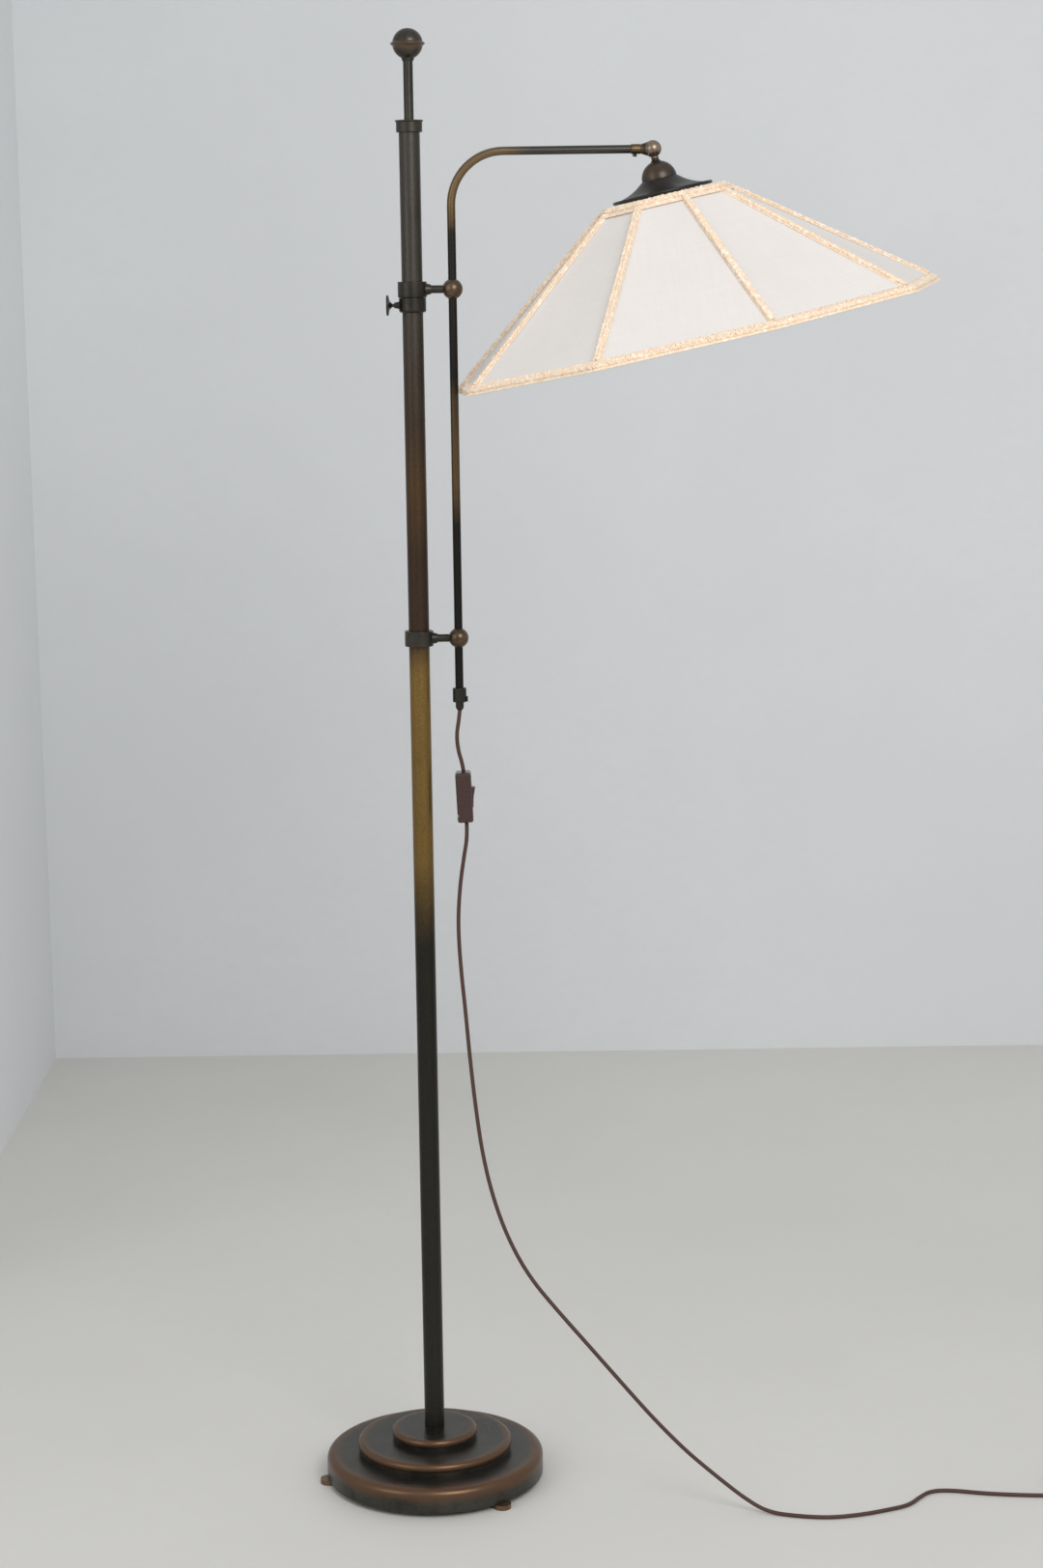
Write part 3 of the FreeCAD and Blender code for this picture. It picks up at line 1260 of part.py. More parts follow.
# ---------------------------------------------------------------- all the pieces
NODES = {
    "base_large_disc": base_large_disc,
    "base_middle_disc": base_middle_disc,
    "base_small_disc": base_small_disc,
    "base_feet": feet,
    "foot_screws": foot_screws,
    "base_rod": base_rod,
    "base_washer": base_washer,
    "base_nut": base_nut,
    "pole_foot_insert": pole_foot_insert,
    "pole_tube": pole_tube,
    "pole_head_insert": pole_head_insert,
    "pole_cup": pole_cup,
    "finial_rod": finial_rod,
    "finial_ball": finial_ball,
    "upper_bracket_ring": lambda: bracket_ring(UPPER_BRACKET_Z),
    "upper_bracket_ball": lambda: bracket_ball(UPPER_BRACKET_Z),
    "lower_bracket_ring": lambda: bracket_ring(LOWER_BRACKET_Z),
    "lower_bracket_ball": lambda: bracket_ball(LOWER_BRACKET_Z),
    "bracket_rods": bracket_rods,
    "ball_screws": ball_screws,
    "lock_collar": lock_collar,
    "thumb_screw": thumb_screw,
    "arm_tube": arm_tube,
    "cord_grip": cord_grip,
    "grip_screw": grip_screw,
    "lead_in_arm": lead_in_arm,
    "knuckle_arm_half": knuckle_arm_half,
    "knuckle_screw": knuckle_screw,
    "knuckle_set_screw": knuckle_set_screw,
    "knuckle_head_half": knuckle_head_half,
    "canopy": canopy,
    "stem_nuts": stem_nuts,
    "shade_spider": shade_spider,
    "holder_cap": holder_cap,
    "holder_core": holder_core,
    "holder_body": holder_body,
    "holder_ring": holder_ring,
    "socket_shell": socket_shell,
    "lead_in_stem": lead_in_stem,
    "bulb_cap": bulb_cap,
    "bulb_glass": bulb_glass,
    "shade_top_hoop": shade_top_hoop,
    "shade_bottom_hoop": shade_bottom_hoop,
    "shade_ribs": shade_ribs,
    "shade_panels": shade_panels,
    "shade_top_braid": shade_top_braid,
    "shade_bottom_braid": shade_bottom_braid,
    "shade_rib_braids": shade_rib_braids,
    "switch_back": switch_back,
    "switch_front": switch_front,
    "switch_screws": switch_screws,
    "switch_terminals": switch_terminals,
    "switch_pin": switch_pin,
    "switch_rocker": switch_rocker,
    "cord_upper": lambda: cord_tube("cord_upper", UPPER_ROUTE),
    "cord_run": lambda: cord_tube("cord_run", RUN_ROUTE),
    "cord_coil": cord_coil,
    "plug_body": plug_body,
    "plug_pins": plug_pins,
}


def main():
    os.makedirs("parts", exist_ok=True)
    for name, make in NODES.items():
        shape = make()
        solids = shape.Solids
        print(name, len(solids), "solid(s)", "valid" if shape.isValid() else "NOT VALID",
              "volume", round(sum(solid.Volume for solid in solids)))
        whole = solids[0] if len(solids) == 1 else Part.makeCompound(solids)
        whole.exportStep("parts/" + name + ".step")


main()
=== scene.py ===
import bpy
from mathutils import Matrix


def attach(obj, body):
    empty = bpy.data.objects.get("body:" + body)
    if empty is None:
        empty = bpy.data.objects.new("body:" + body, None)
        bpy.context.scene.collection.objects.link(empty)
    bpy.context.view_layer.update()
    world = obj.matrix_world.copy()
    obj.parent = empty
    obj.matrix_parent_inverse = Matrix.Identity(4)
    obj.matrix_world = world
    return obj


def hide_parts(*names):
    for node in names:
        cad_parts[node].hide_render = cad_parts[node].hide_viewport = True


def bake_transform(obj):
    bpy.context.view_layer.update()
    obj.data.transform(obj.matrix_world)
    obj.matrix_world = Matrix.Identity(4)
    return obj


bl_info = {
    "name": "Bridge Floor Lamp",
    "version": (1, 0, 0),
    "blender": (4, 5, 0),
    "location": "3D View > Sidebar > Lamp",
    "description": "Dresses the bridge floor lamp: cloth shade, braid, lead, patinated metal and the studio",
    "category": "Object",
}

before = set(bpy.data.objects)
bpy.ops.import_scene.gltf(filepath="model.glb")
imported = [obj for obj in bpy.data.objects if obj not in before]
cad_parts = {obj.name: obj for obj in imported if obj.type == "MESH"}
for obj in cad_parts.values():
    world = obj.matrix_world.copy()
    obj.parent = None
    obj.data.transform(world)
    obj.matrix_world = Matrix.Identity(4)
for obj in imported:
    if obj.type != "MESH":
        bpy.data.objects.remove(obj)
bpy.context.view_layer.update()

import math

import bmesh
import bpy
from bpy.props import FloatProperty, FloatVectorProperty, IntProperty, PointerProperty
from mathutils import Matrix, Vector

MM = 0.001

# The shade's axis: pivot of the knuckle, tilt, and depths down from the pivot.
PIVOT = Vector((288.0, 0.0, 1657.0)) * MM
TILT = math.radians(12.4)
HEAD = Matrix.Translation(PIVOT) @ Matrix.Rotation(-TILT, 4, "Y")
SIDES = 9
FIRST_CORNER = math.radians(4.4)
SHADE_TOP, SHADE_BOTTOM = 58.0 * MM, 228.0 * MM
TOP_RADIUS, BOTTOM_RADIUS = 72.5 * MM, 304.0 * MM

# Points that the lead follows, in millimetres.
UPPER_ROUTE = [
    (48.0, 0.0, 989.0), (46.6, 0.0, 976.0), (43.4, 0.0, 958.0), (45.2, 0.0, 938.0),
    (49.8, 0.0, 923.0), (51.2, 0.0, 912.7),
]
RUN_ROUTE = [
    (53.9, 0.0, 849.6), (54.6, -0.5, 832.0), (50.0, -1.5, 806.0), (44.2, -3.0, 768.0),
    (41.2, -6.0, 722.0), (43.6, -10.0, 670.0), (48.8, -14.0, 613.0), (53.8, -21.0, 550.0),
    (60.0, -29.0, 490.0), (67.6, -38.0, 434.0), (80.5, -47.0, 379.0), (99.0, -56.0, 329.0),
    (124.0, -64.5, 284.0), (158.0, -73.0, 243.5), (197.0, -83.0, 200.0), (236.0, -93.0, 156.0),
    (275.0, -103.0, 112.5), (315.0, -112.5, 73.0), (352.0, -120.5, 43.0), (386.0, -128.0, 17.0),
    (414.0, -137.0, 2.5), (450.0, -150.0, 2.5), (490.0, -156.0, 2.5), (532.0, -147.0, 2.5),
    (565.0, -133.5, 2.5), (590.0, -122.0, 2.5), (606.0, -99.0, 2.5), (622.0, -80.0, 2.5),
    (648.0, -78.0, 2.5), (690.0, -90.0, 2.5), (742.0, -97.0, 2.5), (782.0, -99.0, 2.5),
    (806.0, -99.0, 2.5),
]
COIL = dict(lead=9.0, radius=36.4, pitch=5.9, layer=5.7, turns_in=2.75, climb=0.5, turns_out=3.0, dip=0.9,
            steps=16)

# The braid: height of its middle over the cloth and of a crossing over that, half widths of its
# three kinds, and how far their lines stay inside the cloth's edges.
BRAID_LIFT, CROSSING_LIFT = 0.0022, 0.0009
CORNER_HALF, TOP_HALF, BOTTOM_HALF = 0.0030, 0.0034, 0.0046
CORNER_START, CORNER_END, TOP_LINE, BOTTOM_LINE = 0.006, 0.010, 0.0025, 0.0048

PANEL_SPACING = 0.3  # between the panels on the cloth's UV map
HOLDER_RING_DEPTH = 0.105

# Rubbed rims of the base's discs and of the finial: radius, height and width.
DISC_RIMS = {"large": (0.1330, 0.0325, 0.0095), "middle": (0.0950, 0.0490, 0.0070),
             "small": (0.0518, 0.0632, 0.0052)}
FINIAL_RIM = (0.0200, 1.7790, 0.0050)

# Heights that the zones of the pole's and the arm's patina are counted by.
LAMP_HEIGHT = 1.8
ARM_FOOT, ARM_RISE = 1.0, 0.7

# The stage: half the floor's side, the walls' height and places, and where the side wall begins.
FLOOR_HALF, WALL_HEIGHT, BACK_WALL, SIDE_WALL, SIDE_WALL_FRONT = 6.0, 4.0, 2.06, -0.80, 0.6
WALL_COLOUR = (0.800, 0.812, 0.824)
SKY_STRENGTH = 0.62


# ---- settings
def colour_property(name, description, default):
    return FloatVectorProperty(name=name, description=description, subtype="COLOR", default=default,
                               min=0.0, max=1.0)


def length_property(name, description, default):
    return FloatProperty(name=name, description=description, default=default, unit="LENGTH")


class LampCameraSettings(bpy.types.PropertyGroup):
    """Where the lamp is seen from."""
    lens: FloatProperty(name="Lens", description="Focal length for a 36 mm high frame", default=68.05, min=10.0)
    place: FloatVectorProperty(name="Place", description="Camera's place", default=(0.1221, -3.5864, 1.5244),
                               subtype="TRANSLATION", unit="LENGTH")
    pitch: FloatProperty(name="Pitch", description="Angle below the horizon", default=math.radians(9.944),
                         subtype="ANGLE")
    roll: FloatProperty(name="Roll", description="Turn about the line of sight", default=math.radians(-0.795),
                        subtype="ANGLE")


class LampMetalSettings(bpy.types.PropertyGroup):
    """Colours of the patinated metal."""
    dark: colour_property("Dark patina", "Deepest tone of the patina", (0.030, 0.027, 0.022))
    grey: colour_property("Grey patina", "Grey-brown tone of the upper pole", (0.064, 0.061, 0.055))
    red: colour_property("Red patina", "Reddish brown tone", (0.054, 0.033, 0.021))
    gold: colour_property("Bare brass", "Brass where the patina is thin", (0.228, 0.138, 0.040))
    copper: colour_property("Rubbed rim", "Copper brown on the base's rims", (0.150, 0.082, 0.045))
    # Also the colour of the painted highlight on the knuckle ball, over its worn brass.
    worn_brass_and_highlight: colour_property("Worn brass and highlight", "Knuckle ball: worn brass under a painted highlight", (0.300, 0.235, 0.170))


class LampShadeSettings(bpy.types.PropertyGroup):
    """Cloth and braid of the shade."""
    cloth: colour_property("Cloth", "Colour of the cloth", (0.800, 0.758, 0.720))
    braid: colour_property("Braid", "Colour of the braid", (0.965, 0.810, 0.640))
    sag: length_property("Sag", "How far a panel's middle draws in", 0.0028)
    thickness: length_property("Thickness", "Thickness of the cloth", 0.0008)
    wave: length_property("Plait length", "Length after which a strand repeats", 0.0085)
    strand: length_property("Strand radius", "Radius of one strand of the plait", 0.00145)
    fray: length_property("Unevenness", "How far a strand strays", 0.0012)
    spacing: length_property("Step", "Distance between rings of a strand", 0.0012)


class LampLeadSettings(bpy.types.PropertyGroup):
    """The lead."""
    diameter: length_property("Diameter", "Outer diameter", 0.005)
    colour: colour_property("Lead", "Colour of the lead's sleeve", (0.085, 0.036, 0.026))
    facets: IntProperty(name="Facets", description="Faces round the lead", default=12, min=6, max=32)


# ---- node helpers
def node(tree, kind, inputs=None, **settings):
    """Adds a node, sets its properties, and sets or links its inputs by name or place."""
    made = tree.nodes.new(kind)
    for key, value in settings.items():
        setattr(made, key, value)
    for key, value in (inputs or {}).items():
        if isinstance(value, bpy.types.NodeSocket):
            tree.links.new(value, made.inputs[key])
        else:
            made.inputs[key].default_value = value
    return made


def output(tree, kind, inputs=None, **settings):
    """First output of a new node."""
    return node(tree, kind, inputs, **settings).outputs[0]


def maths(tree, operation, *values, clamp=False):
    return output(tree, "ShaderNodeMath", dict(enumerate(values)), operation=operation, use_clamp=clamp)


def add(tree, first, second):
    return maths(tree, "ADD", first, second)


def minus(tree, first, second):
    return maths(tree, "SUBTRACT", first, second)


def times(tree, first, second):
    return maths(tree, "MULTIPLY", first, second)


def hypotenuse(tree, first, second):
    return maths(tree, "SQRT", add(tree, maths(tree, "POWER", first, 2.0), maths(tree, "POWER", second, 2.0)))


def vectors(tree, operation, *values):
    """Result of a vector operation; the factor of SCALE is the node's fourth input."""
    places = (0, 3) if operation == "SCALE" else (0, 1)
    made = node(tree, "ShaderNodeVectorMath", dict(zip(places, values)), operation=operation)
    return made.outputs[1] if operation == "LENGTH" else made.outputs[0]


def split(tree, vector):
    """The three parts of a vector."""
    return node(tree, "ShaderNodeSeparateXYZ", {0: vector}).outputs


def rgba(colour):
    """A socket as it is, or a colour with its alpha."""
    return colour if isinstance(colour, bpy.types.NodeSocket) else (*tuple(colour)[:3], 1.0)


def blend_colour(tree, share, first, second):
    """Colour between two colours, by a share or a mask."""
    inputs = {0: share, 6: rgba(first), 7: rgba(second)}
    return node(tree, "ShaderNodeMix", inputs, data_type="RGBA").outputs[2]


def spread(tree, value, low, high, new_low=0.0, new_high=1.0):
    """Maps a value from one range to another, held at both ends."""
    inputs = {0: value, 1: low, 2: high, 3: new_low, 4: new_high}
    return output(tree, "ShaderNodeMapRange", inputs, interpolation_type="SMOOTHSTEP")


def noise(tree, vector, scale, detail=3.0, roughness=0.5):
    inputs = {"Vector": vector, "Scale": scale, "Detail": detail, "Roughness": roughness}
    return output(tree, "ShaderNodeTexNoise", inputs)


def stretched(tree, vector, scale):
    """Coordinates scaled unevenly, for streaks."""
    return vectors(tree, "MULTIPLY", vector, scale)


def shader_group(name, inputs, outputs):
    """Empty shader group with named sockets: (name, type, default)."""
    group = bpy.data.node_groups.new(name, "ShaderNodeTree")
    for title, kind, default in inputs:
        socket = group.interface.new_socket(name=title, in_out="INPUT", socket_type="NodeSocket" + kind)
        if default is not None:
            socket.default_value = default
    for title, kind in outputs:
        group.interface.new_socket(name=title, in_out="OUTPUT", socket_type="NodeSocket" + kind)
    return group, group.nodes.new("NodeGroupInput").outputs, group.nodes.new("NodeGroupOutput").inputs


def patina_group():
    """Uneven patina: cloudy tone, drawn streaks, specks and a roughness that follows them."""
    group, given, result = shader_group("Patina", [
        ("Vector", "Vector", None), ("Deep", "Color", rgba((0.03, 0.027, 0.02))),
        ("Tone", "Color", rgba((0.1, 0.08, 0.05))), ("Cloud", "Float", 14.0), ("Thin", "Float", 0.5),
        ("Rough", "Float", 0.38),
    ], [("Color", "Color"), ("Roughness", "Float"), ("Height", "Float")])
    cloud = noise(group, given["Vector"], given["Cloud"], 5.0, 0.62)
    streak = noise(group, stretched(group, given["Vector"], (90.0, 90.0, 7.0)), 1.0, 3.0, 0.55)
    speck = noise(group, given["Vector"], 620.0, 2.0, 0.6)
    mask = add(group, times(group, cloud, 0.75), times(group, streak, 0.25))
    low = minus(group, 0.78, times(group, given["Thin"], 0.6))
    mask = spread(group, mask, minus(group, low, 0.16), add(group, low, 0.16))
    colour = blend_colour(group, mask, given["Deep"], given["Tone"])
    specked = vectors(group, "SCALE", colour, spread(group, speck, 0.3, 0.7, 0.82, 1.16))
    group.links.new(specked, result["Color"])
    rough = add(group, given["Rough"], times(group, minus(group, cloud, 0.5), 0.35))
    group.links.new(add(group, rough, times(group, speck, 0.06)), result["Roughness"])
    group.links.new(add(group, times(group, streak, 0.6), times(group, speck, 0.4)), result["Height"])
    return group


def rim_group():
    """Mask of a round rim about the lamp's axis, rubbed unevenly."""
    group, given, result = shader_group("Rubbed rim", [
        ("Vector", "Vector", None), ("Radius", "Float", 0.1), ("Height", "Float", 0.03),
        ("Width", "Float", 0.006),
    ], [("Mask", "Float")])
    parts = split(group, given["Vector"])
    radius = hypotenuse(group, parts[0], parts[1])
    across = minus(group, radius, given["Radius"])
    above = minus(group, parts[2], given["Height"])
    away = hypotenuse(group, across, above)
    wobble = add(group, 0.55, noise(group, given["Vector"], 26.0, 4.0, 0.6))
    edge = times(group, given["Width"], wobble)
    group.links.new(spread(group, maths(group, "DIVIDE", away, edge), 1.7, 0.25), result["Mask"])
    return group


def weave_group():
    """Plain weave on a UV map in metres, with uneven threads."""
    group, given, result = shader_group("Weave", [
        ("Vector", "Vector", None), ("Threads", "Float", 1500.0), ("Slub", "Float", 0.35),
    ], [("Shade", "Float"), ("Height", "Float")])
    parts = split(group, given["Vector"])
    warp = maths(group, "SINE", times(group, parts[0], given["Threads"]))
    weft = maths(group, "SINE", times(group, parts[1], given["Threads"]))
    thick = noise(group, stretched(group, given["Vector"], (420.0, 16.0, 1.0)), 1.0, 3.0, 0.6)
    thin = noise(group, stretched(group, given["Vector"], (16.0, 420.0, 1.0)), 1.0, 3.0, 0.6)
    cloud = noise(group, given["Vector"], 9.0, 3.0, 0.5)
    slub = times(group, minus(group, add(group, thick, thin), 1.0), given["Slub"])
    tone = add(group, slub, times(group, minus(group, cloud, 0.5), 0.08))
    group.links.new(add(group, 1.0, tone), result["Shade"])
    group.links.new(add(group, times(group, warp, weft), times(group, slub, 3.0)), result["Height"])
    return group


def group_of(name):
    """A shared group, made once."""
    makers = {"Patina": patina_group, "Rubbed rim": rim_group, "Weave": weave_group}
    return bpy.data.node_groups.get(name) or makers[name]()


def use_group(tree, name, inputs):
    return node(tree, "ShaderNodeGroup", inputs, node_tree=group_of(name)).outputs


def new_material(name, **sockets):
    """Material with a Principled shader, its tree, and the shader's inputs."""
    material = bpy.data.materials.new(name)
    material.use_nodes = True
    tree = material.node_tree
    shader = tree.nodes["Principled BSDF"]
    for key, value in sockets.items():
        shader.inputs[key.replace("_", " ")].default_value = value
    return material, tree, shader.inputs


def bump(tree, target, height, strength, distance):
    made = node(tree, "ShaderNodeBump", {"Strength": strength, "Distance": distance, "Height": height})
    tree.links.new(made.outputs[0], target["Normal"])


def paint(tree, target, colour, rough):
    """Gives a shader its colour and roughness."""
    tree.links.new(colour, target["Base Color"])
    tree.links.new(rough, target["Roughness"])


def object_place(tree):
    return tree.nodes.new("ShaderNodeTexCoord").outputs["Object"]


def finish_patina(tree, target, deep, tone, thin=0.5, cloud=14.0, rough=0.38):
    """Feeds a shader from the patina group; returns the colour it got."""
    out = use_group(tree, "Patina", {"Vector": object_place(tree), "Deep": rgba(deep), "Tone": rgba(tone),
                                     "Cloud": cloud, "Thin": thin, "Rough": rough})
    paint(tree, target, out["Color"], out["Roughness"])
    bump(tree, target, out["Height"], 0.12, 0.0003)
    return out["Color"]


def ramp(tree, value, stops):
    """Colour along a value between 0 and 1; stops are (position, colour)."""
    made = node(tree, "ShaderNodeValToRGB", {0: value})
    elements = made.color_ramp.elements
    while len(elements) < len(stops):
        elements.new(0.5)
    for element, (position, _) in zip(elements, stops):
        element.position = position
    for element, (_, colour) in zip(elements, stops):
        element.color = rgba(colour)
    return made.outputs[0]


# ---- metal finishes
def plain_patina(name, deep, tone, **values):
    material, tree, target = new_material(name, Metallic=0.82)
    finish_patina(tree, target, deep, tone, **values)
    return material


def strayed(tree, place, height, scale, detail):
    """Height that strays a little, so that a zone's edge is uneven."""
    return add(tree, height, times(tree, minus(tree, noise(tree, place, scale, detail, 0.6), 0.5), 0.05))


def pole_finish(metal):
    """Patina in zones up the pole, from near black through bare brass to grey-brown."""
    material, tree, target = new_material("pole patina", Metallic=0.82)
    place = object_place(tree)
    share = maths(tree, "DIVIDE", strayed(tree, place, split(tree, place)[2], 22.0, 4.0), LAMP_HEIGHT)
    grey, red, gold = metal.grey, metal.red, metal.gold
    tone = ramp(tree, share, [
        (0.000, (0.034, 0.032, 0.027)), (0.385, (0.026, 0.023, 0.018)), (0.408, (0.062, 0.042, 0.022)),
        (0.440, [c * 0.84 for c in gold]), (0.575, gold), (0.597, red), (0.660, red),
        (0.700, (0.088, 0.050, 0.024)), (0.745, (0.058, 0.040, 0.028)), (0.830, (0.066, 0.058, 0.048)),
        (1.000, grey),
    ])
    deep = blend_colour(tree, 0.42, tone, metal.dark)
    finish_patina(tree, target, deep, tone, thin=0.75, cloud=11.0, rough=0.36)
    return material


def arm_finish(metal):
    """Dark patina with bare brass round the bend and a warmer stretch lower down."""
    material, tree, target = new_material("arm patina", Metallic=0.85)
    place = object_place(tree)
    parts = split(tree, place)
    height = strayed(tree, place, parts[2], 24.0, 3.0)
    share = maths(tree, "DIVIDE", minus(tree, height, ARM_FOOT), ARM_RISE, clamp=True)
    dark = (0.019, 0.018, 0.016)
    tone = ramp(tree, share, [
        (0.00, dark), (0.30, dark), (0.37, (0.130, 0.080, 0.038)), (0.50, (0.105, 0.066, 0.034)),
        (0.57, dark), (0.79, (0.024, 0.022, 0.018)), (0.85, (0.165, 0.110, 0.052)),
        (0.97, (0.230, 0.160, 0.092)),
    ])
    reach = spread(tree, parts[0], 0.095, 0.150)
    tone = blend_colour(tree, reach, tone, (0.070, 0.066, 0.058))
    finish_patina(tree, target, blend_colour(tree, 0.35, tone, metal.dark), tone, thin=0.75, rough=0.30)
    return material


def rub_rim(tree, target, colour, rubbed, share, radius, height, width):
    """Blends a rubbed colour into a rim about the lamp's axis."""
    mask = use_group(tree, "Rubbed rim", {"Vector": object_place(tree), "Radius": radius, "Height": height,
                                          "Width": width})["Mask"]
    tree.links.new(blend_colour(tree, times(tree, mask, share), colour, rubbed), target["Base Color"])


def base_finish(metal, name, rim):
    """Dark cast disc with a rubbed rim."""
    material, tree, target = new_material(name, Metallic=0.80)
    colour = finish_patina(tree, target, (0.034, 0.034, 0.030), (0.070, 0.066, 0.056), thin=0.55, cloud=18.0,
                           rough=0.29)
    rub_rim(tree, target, colour, metal.copper, 0.9, *rim)
    return material


def finial_finish():
    """Dark ball whose ridge is rubbed to a warm brown."""
    material, tree, target = new_material("finial patina", Metallic=0.80)
    colour = finish_patina(tree, target, (0.040, 0.036, 0.030), (0.072, 0.064, 0.054), thin=0.5, rough=0.30)
    rub_rim(tree, target, colour, (0.17, 0.11, 0.065), 0.6, *FINIAL_RIM)
    return material


def near_point(tree, point, inner, outer):
    """Mask that is 1 near a point and fades out between two distances."""
    away = vectors(tree, "LENGTH", vectors(tree, "SUBTRACT", object_place(tree), tuple(point)))
    return spread(tree, away, outer, inner)


def knuckle_finish(metal, name, far_colour):
    """Ball paler than the rest, partly worn brass and partly a painted highlight, with a dark band round it and
    then the far colour.
    """
    material, tree, target = new_material(name, Metallic=0.88)
    # The ball gets the pale colour: partly worn brass, partly a painted highlight.
    ball = near_point(tree, PIVOT, 0.0098, 0.0122)
    neck = near_point(tree, PIVOT, 0.0125, 0.0160)
    tone = blend_colour(tree, neck, far_colour, (0.060, 0.048, 0.036))
    tone = blend_colour(tree, ball, tone, metal.worn_brass_and_highlight)
    finish_patina(tree, target, (0.075, 0.055, 0.038), tone, thin=0.66, cloud=70.0, rough=0.27)
    return material


def canopy_finish():
    """Dark skirt under a dome with a warm brown painted highlight."""
    material, tree, target = new_material("canopy patina with painted highlight", Metallic=0.80)
    # Mask of the warm brown painted highlight on the dome.
    dome = near_point(tree, HEAD @ Vector((-0.002, -0.008, -0.030)), 0.008, 0.021)
    tone = blend_colour(tree, dome, (0.050, 0.047, 0.041), (0.130, 0.092, 0.062))
    finish_patina(tree, target, (0.034, 0.032, 0.028), tone, thin=0.6, rough=0.36)
    return material


# ---- other finishes
def moulded_finish(name, colour, rough=0.30):
    """Moulded resin with faint swirls and an uneven polish."""
    material, tree, target = new_material(name, Coat_Weight=0.25, Coat_Roughness=0.12)
    place = object_place(tree)
    cloud = noise(tree, place, 60.0, 5.0, 0.65)
    deep = [c * 0.6 for c in colour]
    paint(tree, target, blend_colour(tree, times(tree, cloud, 0.5), colour, deep),
          spread(tree, cloud, 0.2, 0.8, rough - 0.06, rough + 0.1))
    bump(tree, target, noise(tree, place, 900.0, 2.0, 0.5), 0.06, 0.0002)
    return material


def steel_finish():
    material, tree, target = new_material("screw steel", Metallic=0.95)
    finish_patina(tree, target, (0.22, 0.20, 0.17), (0.42, 0.40, 0.36), thin=0.6, cloud=90.0, rough=0.34)
    return material


def wire_finish():
    """Lacquered frame wire."""
    material, tree, target = new_material("shade wire lacquer")
    place = object_place(tree)
    cloud = noise(tree, place, 120.0, 4.0, 0.6)
    paint(tree, target, blend_colour(tree, cloud, (0.74, 0.69, 0.60), (0.60, 0.54, 0.44)),
          spread(tree, cloud, 0.2, 0.8, 0.35, 0.55))
    bump(tree, target, noise(tree, place, 700.0, 2.0, 0.5), 0.08, 0.0002)
    return material


def bulb_finish():
    """Frosted glass."""
    material, tree, target = new_material("frosted bulb", IOR=1.45, Transmission_Weight=0.35)
    place = object_place(tree)
    frost = noise(tree, place, 1400.0, 2.0, 0.5)
    paint(tree, target, blend_colour(tree, frost, (0.93, 0.92, 0.89), (0.86, 0.85, 0.82)),
          spread(tree, frost, 0.2, 0.8, 0.42, 0.58))
    bump(tree, target, frost, 0.05, 0.0002)
    return material


def cloth_finish(shade):
    """Fine cloth on a UV map in metres."""
    material, tree, target = new_material("shade cloth", Roughness=0.85, Sheen_Weight=0.15, Sheen_Roughness=0.5,
                                          Specular_IOR_Level=0.25)
    uv = tree.nodes.new("ShaderNodeUVMap").outputs[0]
    out = use_group(tree, "Weave", {"Vector": uv, "Threads": 5200.0, "Slub": 0.10})
    tree.links.new(vectors(tree, "SCALE", tuple(shade.cloth), out["Shade"]), target["Base Color"])
    bump(tree, target, out["Height"], 0.18, 0.0002)
    return material


def braid_finish(shade):
    """Soft matt braid whose strands vary in tone."""
    material, tree, target = new_material("cream braid", Roughness=0.9, Sheen_Weight=0.25, Sheen_Roughness=0.4,
                                          Specular_IOR_Level=0.2)
    place = object_place(tree)
    cloud = noise(tree, place, 330.0, 3.0, 0.6)
    patch = noise(tree, place, 190.0, 2.0, 0.5)
    fibre = noise(tree, place, 2600.0, 2.0, 0.5)
    tone = blend_colour(tree, spread(tree, cloud, 0.40, 0.62), (0.870, 0.670, 0.480), shade.braid)
    tone = blend_colour(tree, spread(tree, patch, 0.52, 0.68), tone, (0.985, 0.900, 0.790))
    tree.links.new(tone, target["Base Color"])
    bump(tree, target, fibre, 0.35, 0.0004)
    return material


def lead_finish(lead):
    """Braided sleeve: two sets of threads that cross round the lead, with painted shade in the gaps between
    them.
    """
    material, tree, target = new_material("lead sleeve", Specular_IOR_Level=0.45)
    uv = tree.nodes.new("ShaderNodeUVMap").outputs[0]
    parts = split(tree, uv)
    turn = times(tree, parts[0], math.tau * 8)
    along = times(tree, parts[1], math.tau * 8)
    one = maths(tree, "SINE", add(tree, turn, along))
    other = maths(tree, "SINE", minus(tree, turn, along))
    weave = maths(tree, "MAXIMUM", one, other)
    # Darker tone in the gaps between the threads: painted shade.
    deep = [c * 0.55 for c in lead.colour]
    tone = blend_colour(tree, spread(tree, weave, -0.4, 0.9), deep, lead.colour)
    paint(tree, target, tone, spread(tree, weave, -0.5, 1.0, 0.55, 0.36))
    bump(tree, target, weave, 0.25, 0.0003)
    return material


def plain_lead_finish(lead):
    """The lead where it runs inside the metal."""
    material, tree, target = new_material("inner lead")
    place = object_place(tree)
    tone = blend_colour(tree, noise(tree, place, 300.0), lead.colour, [c * 0.5 for c in lead.colour])
    paint(tree, target, tone, spread(tree, noise(tree, place, 150.0), 0.2, 0.8, 0.4, 0.6))
    return material


# ---- mesh helpers
def linked_object(name, data):
    """Object at the origin, linked to the scene."""
    made = bpy.data.objects.new(name, data)
    bpy.context.scene.collection.objects.link(made)
    return made


def mesh_object(name, mesh, material):
    """Object with one material."""
    mesh.materials.clear()
    mesh.materials.append(material)
    return linked_object(name, mesh)


def evaluated_mesh(holder):
    """Mesh of an object with its modifiers; the object is then removed."""
    bpy.context.view_layer.update()
    made = bpy.data.meshes.new_from_object(holder.evaluated_get(bpy.context.evaluated_depsgraph_get()))
    bpy.data.objects.remove(holder)
    return made


